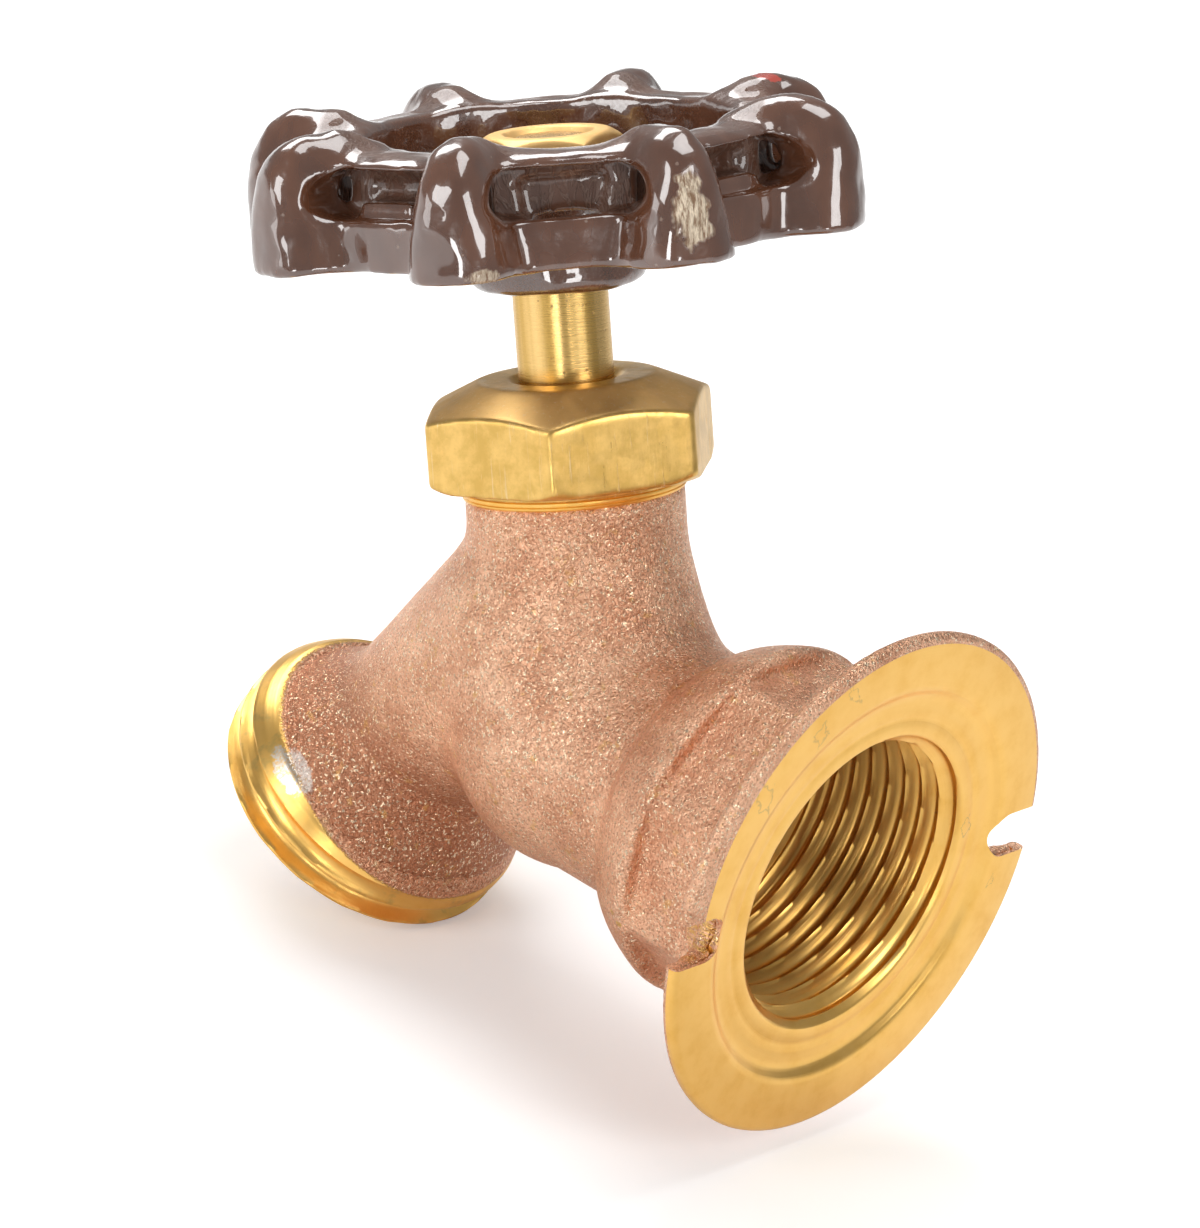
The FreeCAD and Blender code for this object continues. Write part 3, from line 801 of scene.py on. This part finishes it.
castBronze = makeCastBronze()
inletGold = makeMachined("inletGold", inletPlace, 0.16, 0.1, drops=True)
hoseGold = makeMachined("hoseGold", hosePlace, 0.14, 0.12, castEdge=True)
neckGold = makeMachined("neckGold", stemPlace, 0.10)
nutBrass = makeDrawnBrass("nutBrass")
handleBrass = makeDrawnBrass("handleBrass")
screwBrass = makeDrawnBrass("screwBrass")
washerBrass = makeDrawnBrass("washerBrass", 0.1)
stemBrass = makeStemBrass()
wheelEnamel = makeEnamel()
packingFibre = makeRubber("packingFibre", 2.4)
seatRubber = makeRubber("seatRubber", 1.2)
print("finishes made")


# Casting: one skin over flange, octagon, collar, heel, neck and outlet. Starts, ends and
# depths are along the stem, the outlet or the inlet, whichever the form is turned round.
castSet = {
    "grain": 0.385,
    "neckRadius": 9.1,
    "neckTop": 20.4,
    "flareWidth": 2.5,
    "flareTop": 16.4,
    "flareLength": 11.4,
    "heelRadius": 11.8,
    "tubeRadius": 11.3,
    "tubeStart": -30.0,
    "tubeEnd": -4.0,
    "collarRadius": 15.5,
    "collarRoot": 12.3,
    "collarStart": -17.6,
    "collarSwell": 5.0,
    "collarEnd": -11.6,
    "flatsAcross": 28.2,
    "octagonStart": -12.6,
    "octagonEnd": -1.0,
    "flangeRadius": 22.1,
    "flangeRoot": 14.7,
    "flangeStart": -5.5,
    "flangeSweep": 4.2,
    "flangeEnd": -0.45,
    "outletRadius": 8.3,
    "outletRoot": 10.9,
    "outletShift": 3.0,
    "outletStart": 6.5,
    "outletTaper": 19.0,
    "outletEnd": 28.0,
    "bellFoot": 8.8,
    "bellRadius": 12.1,
    "bellShift": 0.6,
    "bellStart": 25.0,
    "bellLength": 4.8,
    "bellEnd": 29.9,
    "recessRadius": 17.4,
    "recessDepth": 1.0,
    "notchCentre": 18.9,
    "notchHalf": 2.0,
    "notchDepth": 7.0,
    "boreRadius": 13.3,
    "boreDepth": 15.9,
    "waterRadius": 5.0,
    "waterDrop": 1.0,
    "chamberRadius": 7.2,
    "passageRadius": 4.5,
    "passageShift": 2.0,
    "mouthRadius": 10.0,
    "mouthStart": 26.0,
    "mouthEnd": 29.4,
    "blend": 2.4,
}


def castBody():
    tree, size, point = startShape("castBody", castSet)
    x, y, z = along(point, Matrix())
    ring = hypot(x, z)
    a, b, t = along(point, stemPlace)
    wide = hypot(a, b)
    u, v, s = along(point, hosePlace)

    flare = clamped((size["flareTop"] - t) / size["flareLength"]) ** 1.5
    neck = most(wide - size["neckRadius"] - flare * size["flareWidth"], -t)
    heel = vectorNode("DISTANCE", point, tuple(stemPlace.translation)) - size["heelRadius"]
    tube = most(ring - size["tubeRadius"], within(y, size["tubeStart"], size["tubeEnd"]))
    trunk = blendLeast(neck, least(heel, tube), 2.0)

    past = s - size["outletStart"]
    drawn = clamped(past / size["outletTaper"])
    offCentre = hypot(u - (1.0 - drawn) * size["outletShift"], v)
    narrowing = drawn * (size["outletRoot"] - size["outletRadius"])
    outlet = hypot(offCentre, least(past, 0.0)) - size["outletRoot"] + narrowing
    trunk = blendLeast(trunk, most(outlet, s - size["outletEnd"]), size["blend"])
    opened = clamped((s - size["bellStart"]) / size["bellLength"])
    dome = size["bellFoot"] + opened * (size["bellRadius"] - size["bellFoot"])
    bell = (hypot(u - size["bellShift"], v) - dome) * 0.8
    bell = most(bell, within(s, size["bellStart"] - 0.2, size["bellEnd"]))
    trunk = blendLeast(trunk, bell, 1.2)

    swell = clamped((y - size["collarStart"]) / size["collarSwell"]) ** 0.58
    collar = ring - size["collarRoot"] - swell * (size["collarRadius"] - size["collarRoot"])
    collarRun = within(y, size["collarStart"] - 0.1, size["collarEnd"])
    collar = blendMost(collar * 0.85, collarRun, 0.6)
    octagon = abs(x)
    for side in (abs(z), abs(x + z) * diagonal, abs(x - z) * diagonal):
        octagon = blendMost(octagon, side, 0.3)
    octagonRun = within(y, size["octagonStart"], size["octagonEnd"])
    octagon = most(octagon - size["flatsAcross"] / 2, octagonRun)
    base = blendLeast(collar, octagon, 0.25)
    sweep = clamped((y - size["flangeStart"]) / size["flangeSweep"]) ** 2.8
    flange = ring - size["flangeRoot"] - sweep * (size["flangeRadius"] - size["flangeRoot"])
    flange = most(flange, within(y, size["flangeStart"], size["flangeEnd"]))
    base = blendLeast(base, flange, 1.2)
    body = blendLeast(trunk, base, 2.2)

    # the runs of the hidden holes reach on into one another
    face = most(-size["recessDepth"] - y, ring - size["recessRadius"])
    slot = hypot(least(abs(x) - size["notchCentre"], 0.0), z) - size["notchHalf"]
    notch = most(slot, -size["notchDepth"] - y)
    bore = most(ring - size["boreRadius"], -size["boreDepth"] - y)
    waterway = hypot(x, z + size["waterDrop"]) - size["waterRadius"]
    waterway = most(waterway, within(y, -36.0, -13.0))
    chamber = most(wide - size["chamberRadius"], within(t, 5.0, 30.0))
    passage = hypot(u + size["passageShift"], v) - size["passageRadius"]
    passage = most(passage, within(s, 5.6, 40.0))
    mouth = hypot(u, v) - size["mouthRadius"] + (size["mouthEnd"] - s) * 1.5
    mouth = most(mouth * 0.55, size["mouthStart"] - s)
    holes = least(least(face, bore), least(waterway, chamber))
    holes = least(holes, least(passage, mouth))
    body = blendMost(body, -holes, 0.2)
    body = blendMost(body, -notch, 0.5)
    body = most(body, t - size["neckTop"])
    body = body + (noise(point, 0.16, 2.0, 0.5) - 0.5) * 0.2
    finishShape(tree, body, (-23, -63, -25), (23, 0.6, 24), size["grain"], castBronze)
    return meshOfShape("castBody", tree, castSet)


addPiece("castBody", castBody(), "valve", Matrix(), ["valve_body"])


# Machined flange face, mouth and pipe thread
inletSet = {
    "crestRadius": 12.05,
    "pitch": 1.814,
    "groove": 0.95,
    "crest": 0.12,
    "threadStart": -13.3,
    "depth": 15.4,
    "mouthRadius": 13.2,
    "mouthDepth": 1.8,
    "edgeRadius": 21.75,    # past it the rim is cast
    "edgeMost": 2.1,
    "edgeFade": 0.8,
    "backRadius": 17.6,     # past it the back is cast
    "steps": 324,
    "notchWidth": 4.0,
    "notchInner": 16.9,
}


# Depth of a thread, 1 at the middle of its round groove and 0 on its crest, and the turns
# from its start
def grooveShare(height, angles, sizes):
    turn = (height - sizes["threadStart"]) / sizes["pitch"] - angles / (2 * math.pi)
    away = np.abs(turn - np.round(turn)) / (1.0 - sizes["crest"] / sizes["pitch"])
    return np.cos(math.pi * np.clip(away, 0, 0.5)) ** 0.85, turn


# How far the bare edge of the face is drawn in, most just above the left notch
def edgeDrawnIn(angles):
    up = np.mod(-angles, 2 * math.pi)
    fading = inletSet["edgeMost"] * np.exp(-up / inletSet["edgeFade"])
    return np.where(up < math.pi, fading, 0.1)


def inletRadius(radius, height, angles):
    crest = inletSet["crestRadius"]
    share, _ = grooveShare(height, angles, inletSet)
    inner = (radius < inletSet["mouthRadius"]) & (radius > crest - 0.15) & (height < -0.7)
    fade = np.clip((height + inletSet["depth"] + 0.2) / 0.8, 0, 1)
    cone = crest + np.clip(height + inletSet["mouthDepth"], 0, None)
    threaded = np.maximum(crest + inletSet["groove"] * share * fade, cone)
    edge = (radius > 21.6) & (height > -0.01)
    drawn = radius - edgeDrawnIn(angles) * edge
    return np.where(inner, threaded, drawn)


def notchCutter():
    half = inletSet["notchWidth"] / 2
    centre = inletSet["notchInner"] + half
    ring = [(24.0, -half), (24.0, half)]
    for k in range(25):
        angle = math.radians(90 + 180 * k / 24)
        ring.append((centre + half * math.cos(angle), half * math.sin(angle)))
    spots = []
    faces = []
    count = len(ring)
    for side in (1, -1):
        first = len(spots)
        for level in (-3.0, 1.0):
            spots += [(side * u, side * v, level) for u, v in ring]
        for k in range(count):
            n = (k + 1) % count
            faces.append((first + k, first + n, first + count + n, first + count + k))
        faces.append(tuple(first + k for k in reversed(range(count))))
        faces.append(tuple(first + count + k for k in range(count)))
    mesh = bpy.data.meshes.new("notchCutter")
    mesh.from_pydata(spots, [], faces)
    mesh.materials.append(inletGold)
    mesh.materials.append(castBronze)
    mesh.polygons.foreach_set("material_index", [1] * len(mesh.polygons))
    return cleaned(mesh)


def cutAway(mesh, cutter):
    holder = bpy.data.objects.new("cutHolder", mesh)
    tool = bpy.data.objects.new("cutTool", cutter)
    for item in (holder, tool):
        bpy.context.scene.collection.objects.link(item)
    modifier = holder.modifiers.new("cut", "BOOLEAN")
    modifier.operation = "DIFFERENCE"
    modifier.solver = "EXACT"
    modifier.object = tool
    graph = bpy.context.evaluated_depsgraph_get()
    result = bpy.data.meshes.new_from_object(holder.evaluated_get(graph), depsgraph=graph)
    for item in (holder, tool):
        bpy.data.objects.remove(item)
    return result


# Rim and back of the plate keep the cast skin
def leaveCast(mesh):
    mesh.materials.append(castBronze)
    for face in mesh.polygons:
        x, y, height = face.center
        wide = math.hypot(x, y)
        edge = inletSet["edgeRadius"] - float(edgeDrawnIn(np.array(math.atan2(y, x))))
        lowest = -0.1 if y < 1.0 else -0.8
        back = wide > inletSet["backRadius"] and height < lowest
        if back or (wide > edge and y < 1.0):
            face.material_index = 1


def inletFace():
    outline = [
        (21.3, -1.3), (21.9, -1.25), (22.12, -1.05), (22.2, -0.75), (22.2, -0.45), (22.08, -0.2),
        (21.85, -0.06), (21.7, 0.0), (18.0, 0.0), (17.5, -0.06), (17.15, -0.26), (16.9, -0.48),
        (16.5, -0.64), (16.0, -0.7, 0.6), (14.9, -0.7), (14.7, -0.76), (14.5, -0.78), (14.3, -0.76),
        (14.1, -0.7, 0.5), (13.3, -0.7), (13.12, -0.74, 0.3), (12.05, -1.8, 0.11),
        (12.05, -15.5, 1.2), (5.0, -19.2), (5.3, -19.4), (13.25, -15.8), (13.25, -0.95),
        (17.35, -0.95), (17.5, -0.3), (20.9, -0.3), (21.1, -1.2),
    ]
    ring = fineOutline(outline)
    mesh = turnedMesh("inletFace", ring, inletSet["steps"], inletGold, inletRadius)
    leaveCast(mesh)
    cut = cutAway(mesh, notchCutter())
    cut.set_sharp_from_angle(angle=sharpAngle)
    return cut


addPiece("inletFace", inletFace(), "valve", inletPlace, ["valve_body"])


# Machined hose end: band with its thread, end face and bore
hoseSet = {
    "crestRadius": 13.47,
    "pitch": 2.209,
    "groove": 1.2,
    "crest": 0.3,
    "threadStart": 31.66,
    "runIn": 0.4,           # turns in which the groove gets its depth
    "bandInner": 12.1,
    "steps": 288,
}


def hoseRadius(radius, height, angles):
    share, turn = grooveShare(height, angles, hoseSet)
    turnsIn = np.round(turn) + angles / (2 * math.pi)
    fade = np.clip(turnsIn / hoseSet["runIn"], 0, 1)
    threaded = hoseSet["crestRadius"] - hoseSet["groove"] * share * fade
    return np.where(radius > hoseSet["bandInner"], np.minimum(radius, threaded), radius)


def hoseEnd():
    outline = [
        (11.5, 29.3), (12.1, 29.6, 0.3), (12.75, 30.4, 0.15), (13.25, 31.3, 0.12),
        (13.47, 32.1, 0.12), (13.47, 35.65, 0.2), (12.95, 36.15), (12.75, 36.25, 0.6),
        (9.8, 36.25), (9.6, 36.05, 1.0), (9.6, 29.4, 1.0), (4.6, 26.0), (4.4, 25.8), (6.2, 26.5),
        (10.0, 28.9),
    ]
    ring = fineOutline(outline)
    return turnedMesh("hoseEnd", ring, hoseSet["steps"], hoseGold, hoseRadius)


addPiece("hoseEnd", hoseEnd(), "valve", hosePlace, ["valve_body"])


# Turned shoulder and spigot at the top of the neck
def neckRing():
    steps = 192
    outline = [
        (9.2, 20.3), (9.28, 20.42), (9.3, 20.52), (9.24, 20.6), (9.3, 20.68), (9.3, 20.9),
        (9.2, 21.0), (8.75, 21.0), (8.75, 25.2), (8.35, 25.6), (6.95, 25.6), (6.9, 20.1),
        (8.8, 20.1),
    ]
    return turnedMesh("neckRing", outline, steps, neckGold)


addPiece("neckRing", neckRing(), "valve", stemPlace, ["valve_body"])
print("casting done")


# Packing nut: drawn hexagon with a turned cone, on its skirt
nutSet = {
    "grain": 0.18,
    "across": 22.2,
    "turn": 4.8,
    "bottom": 21.6,
    "top": 29.9,
    "topRadius": 7.4,
    "slope": 0.456,
    "footRadius": 11.7,
    "footSlope": 0.6,
    "skirtRadius": 9.55,
    "skirtHeight": 21.5,
    "skirtHalf": 0.5,
    "stemHole": 4.15,
    "mouthRadius": 4.75,
    "neckHole": 8.85,
    "neckEnd": 28.0,
    "soft": 0.5,
}


def packingNut():
    tree, size, point = startShape("packingNut", nutSet)
    x, y, t = along(point, Matrix())
    wide = hypot(x, y)
    flats = hexagon(x, y, size["across"], size["turn"], 0.6)
    over = t - size["top"]
    below = size["bottom"] - t
    # each cone is divided by the length of its slope, which makes it a distance
    cone = (over + (wide - size["topRadius"]) * size["slope"]) / 1.1
    foot = (below + (wide - size["footRadius"]) * size["footSlope"]) / 1.17
    nut = blendMost(flats, cone, size["soft"])
    nut = blendMost(nut, over, 0.3)
    nut = blendMost(nut, most(foot, below), 0.3)
    skirt = roundedBox(wide, t - size["skirtHeight"], size["skirtRadius"], size["skirtHalf"], 0.2)
    nut = blendLeast(nut, skirt, 0.25)
    hole = least(wide - size["stemHole"], most(wide - size["neckHole"], t - size["neckEnd"]))
    mouth = (wide - size["mouthRadius"] - over) * diagonal
    nut = blendMost(nut, -least(hole, mouth), 0.15)
    finishShape(tree, nut, (-13.4, -13.4, 20.5), (13.4, 13.4, 30.4), size["grain"], nutBrass)
    return meshOfShape("packingNut", tree, nutSet)


addPiece("packingNut", packingNut(), "valve", stemPlace, ["packing_nut"])


# Handwheel: band, inner wall, knuckles, windows, spokes and hub under thick enamel
wheelSet = {
    "grain": 0.32,
    "foot": 41.45,
    "bandRadius": 21.2,
    "bandHeight": 9.4,
    "crownRound": 2.9,
    "innerRadius": 15.2,
    "innerFoot": 4.2,
    "underRadius": 17.2,
    "channelRadius": 18.1,
    "channelHalf": 1.1,
    "channelFloor": 7.4,
    "lobePhase": -66.7,
    "lobeRadius": 20.2,
    "lobeOut": 6.2,
    "lobeIn": 5.4,
    "lobeHalf": 3.25,
    "lobeSpread": 0.16,
    "lobeFoot": 3.6,
    "lobeRise": 7.6,
    "lobePower": 2.6,
    "lobeWall": 2.1,
    "lobeSide": 2.0,
    "windowHalf": 6.1,
    "windowLow": 4.4,
    "windowHigh": 8.2,
    "windowInner": 17.7,
    "armHeight": 3.7,
    "armSlope": 0.04,
    "armHalf": 3.0,
    "armThick": 1.35,
    "armReach": 20.0,
    "hubRadius": 7.4,
    "hubHeight": 0.8,
    "hubHalf": 4.8,
    "boreRadius": 3.98,
    "blend": 2.2,
}


# A blunt rounded lobe, with its own length outward and inward, half width and rise
def knuckle(outward, across, height, out, inward, half, rise, power):
    reach = most(outward / out, -outward / inward)
    lift = most(height, 0.0) / rise
    total = most(reach, 0.0) ** power + (abs(across) / half) ** power + lift ** power
    return (total ** (1.0 / power) - 1.0) * half


def handwheel():
    tree, size, point = startShape("handwheel", wheelSet)
    x, y, t = along(point, Matrix())
    wide = hypot(x, y)
    h = t - size["foot"]
    turn = mathNode("ARCTAN2", y, x) - size["lobePhase"] * math.radians(1)
    eighth = math.pi / 8        # half the turn from lobe to lobe

    # how far along and across the nearest of the copies round the wheel the point is
    def repeated(start, half):
        own = mathNode("WRAP", start, half, -half)
        return wide * mathNode("COSINE", own), wide * mathNode("SINE", own)

    lobeOut, lobeAcross = repeated(turn, eighth)
    gapOut, gapAcross = repeated(turn + eighth, eighth)
    armOut, armAcross = repeated(turn + eighth, 2 * eighth)
    lobeOut = lobeOut - size["lobeRadius"]

    rounding = size["crownRound"]
    crownOut = most(wide - size["bandRadius"] + rounding, 0.0)
    crownUp = most(h - size["bandHeight"] + rounding, 0.0)
    crown = hypot(crownOut, crownUp) - rounding
    hull = blendMost(most(crown, -h), size["innerRadius"] - wide, 0.8)
    channel = abs(wide - size["channelRadius"]) - size["channelHalf"]
    channel = blendMost(channel, h - size["channelFloor"], 0.8)
    under = most(wide - size["underRadius"], h - size["innerFoot"])
    band = blendMost(hull, -least(channel, under), 0.6)

    lobeUp = h - size["lobeFoot"]
    spread = size["lobeHalf"] + most(9.0 - h, 0.0) * size["lobeSpread"]
    lobe = knuckle(lobeOut, lobeAcross, lobeUp, size["lobeOut"], size["lobeIn"], spread,
                   size["lobeRise"], size["lobePower"])
    lobe = most(lobe, size["innerRadius"] - wide)
    wall = size["lobeWall"]
    hollow = knuckle(lobeOut, lobeAcross, lobeUp, size["lobeOut"] - wall, size["lobeIn"] - wall,
                     size["lobeHalf"] - size["lobeSide"], size["lobeRise"] - wall, size["lobePower"])
    rim = blendLeast(band, lobe, size["blend"])
    rim = most(rim, -hollow)
    rim = blendMost(rim, -h, 0.7)

    middle = (size["windowLow"] + size["windowHigh"]) * 0.5
    half = (size["windowHigh"] - size["windowLow"]) * 0.5
    window = hypot(most(abs(gapAcross) - size["windowHalf"] + half, 0.0), h - middle) - half
    window = most(window, size["windowInner"] - gapOut)
    rim = blendMost(rim, -window, 0.6)

    armUp = h - size["armHeight"] - armOut * size["armSlope"]
    arm = roundedBox(armAcross, armUp, size["armHalf"], size["armThick"], 0.7)
    arm = most(arm, armOut - size["armReach"])
    hub = roundedBox(wide, h - size["hubHeight"], size["hubRadius"], size["hubHalf"], 1.1)
    wheel = blendLeast(rim, blendLeast(arm, hub, 2.0), 1.2)
    wheel = most(wheel, size["boreRadius"] - wide)
    wheel = wheel + (noise(point, 0.2, 2.0, 0.5) - 0.35) * 0.5
    wheel = wheel + (noise(point, 0.6, 1.0, 0.5) - 0.5) * 0.16
    finishShape(tree, wheel, (-26.9, -26.9, 37.2), (26.9, 26.9, 53.2), size["grain"], wheelEnamel, 2)
    return meshOfShape("handwheel", tree, wheelSet)


addPiece("wheelCasting", handwheel(), "spindle", stemPlace, ["handwheel"])


# Nut that holds the handwheel, dished at its top
capSet = {
    "grain": 0.1,
    "across": 10.6,
    "turn": 41.0,
    "bottom": 47.2,
    "top": 50.1,
    "topRadius": 4.97,
    "slope": 0.584,
    "dishRadius": 3.75,
    "boreRadius": 3.16,
}


def handleNut():
    tree, size, point = startShape("handleNut", capSet)
    x, y, t = along(point, Matrix())
    wide = hypot(x, y)
    flats = hexagon(x, y, size["across"], size["turn"], 0.35)
    over = t - size["top"]
    cone = (over + (wide - size["topRadius"]) * size["slope"]) / 1.158
    nut = blendMost(flats, cone, 0.25)
    nut = blendMost(nut, within(t, size["bottom"], size["top"]), 0.2)
    dish = (wide - size["dishRadius"] - over) * diagonal
    nut = blendMost(nut, -least(wide - size["boreRadius"], dish), 0.2)
    finishShape(tree, nut, (-6.8, -6.8, 46.8), (6.8, 6.8, 50.5), size["grain"], handleBrass)
    return meshOfShape("handleNut", tree, capSet)


addPiece("handleNutTop", handleNut(), "spindle", stemPlace, ["handle_nut"])
print("wheel done")


# The pieces that keep the frame's own meshes
ownFinishes = {
    "stem": stemBrass,
    "packing_washer": washerBrass,
    "packing": packingFibre,
    "seat_washer": seatRubber,
    "seat_screw": screwBrass,
}
for name, finish in ownFinishes.items():
    node = frame["nodes"][name]
    for held in node.material_slots:
        held.material = finish
print("frame pieces finished")


# Floor, lamps and backdrop
studioSet = {
    "floorSize": 4.0,
    "floorColour": colour(0.90, 0.90, 0.90),
    "floorGlow": 0.3,
    "glowFrom": 0.2,        # from here out the paper brightens, up to the backdrop's white
    "glowTo": 0.7,
    "world": 0.28,
    "aim": (0.0, -0.03, 0.02),
    "lamps": {
        "right": {"at": (0.05, 0.62, 0.40), "size": (0.30, 0.34), "strength": 4.6},
        "left": {"at": (0.64, -0.12, 0.32), "size": (0.30, 0.36), "strength": 4.5},
        "low": {"at": (0.48, -0.30, 0.04), "size": (0.26, 0.10), "strength": 2.6},
        "patchLeft": {"at": (0.63, 0.31, 0.035), "size": (0.13, 0.11), "strength": 8.0},
        "patchRight": {"at": (0.33, 0.62, 0.035), "size": (0.10, 0.11), "strength": 7.0},
        "top": {"at": (-0.10, -0.05, 0.62), "size": (0.34, 0.34), "strength": 3.6},
        "rear": {"at": (-0.16, -0.52, 0.44), "size": (0.44, 0.34), "strength": 5.5},
    },
}


def cameraRay(tree):
    return Field(tree, tree.nodes.new("ShaderNodeLightPath").outputs["Is Camera Ray"])


def makeFloor():
    low = cadBox[0][2]
    half = studioSet["floorSize"] / 2
    mesh = bpy.data.meshes.new("floor")
    corners = [(-half, -half, low), (half, -half, low), (half, half, low), (-half, half, low)]
    mesh.from_pydata(corners, [], [(0, 1, 2, 3)])
    material = bpy.data.materials.new("floorPaper")
    material.use_nodes = True
    tree = material.node_tree
    shader = tree.nodes["Principled BSDF"]
    shader.inputs["Base Color"].default_value = studioSet["floorColour"]
    shader.inputs["Roughness"].default_value = 0.9
    shader.inputs["Specular IOR Level"].default_value = 0.1
    shader.inputs["Emission Color"].default_value = colour(1.0, 1.0, 1.0)
    where = Field(tree, tree.nodes.new("ShaderNodeTexCoord").outputs["Object"])
    away = vectorNode("LENGTH", where)
    glow = ramp(away, studioSet["glowFrom"], studioSet["glowTo"], studioSet["floorGlow"], 1.0)
    feed(shader.inputs["Emission Strength"], cameraRay(tree) * glow)
    mesh.materials.append(material)
    floor = bpy.data.objects.new("floor", mesh)
    bpy.context.scene.collection.objects.link(floor)


def makeLamps():
    for name, lamp in studioSet["lamps"].items():
        data = bpy.data.lights.new(name, "AREA")
        data.shape = "RECTANGLE"
        data.size, data.size_y = lamp["size"]
        data.energy = lamp["strength"] * math.pi * lamp["size"][0] * lamp["size"][1]
        item = bpy.data.objects.new(name, data)
        item.location = lamp["at"]
        aim = Vector(studioSet["aim"]) - Vector(lamp["at"])
        item.rotation_euler = aim.to_track_quat("-Z", "Y").to_euler()
        bpy.context.scene.collection.objects.link(item)


def makeWorld():
    world = bpy.data.worlds.new("studio")
    world.use_nodes = True
    backdrop = world.node_tree.nodes["Background"]
    seen = cameraRay(world.node_tree)
    feed(backdrop.inputs["Strength"], studioSet["world"] + seen * (1.0 - studioSet["world"]))
    backdrop.inputs["Color"].default_value = colour(1.0, 1.0, 1.0)
    bpy.context.scene.world = world


makeFloor()
makeLamps()
makeWorld()
bpy.context.scene.view_settings.view_transform = "Standard"
print("studio set")
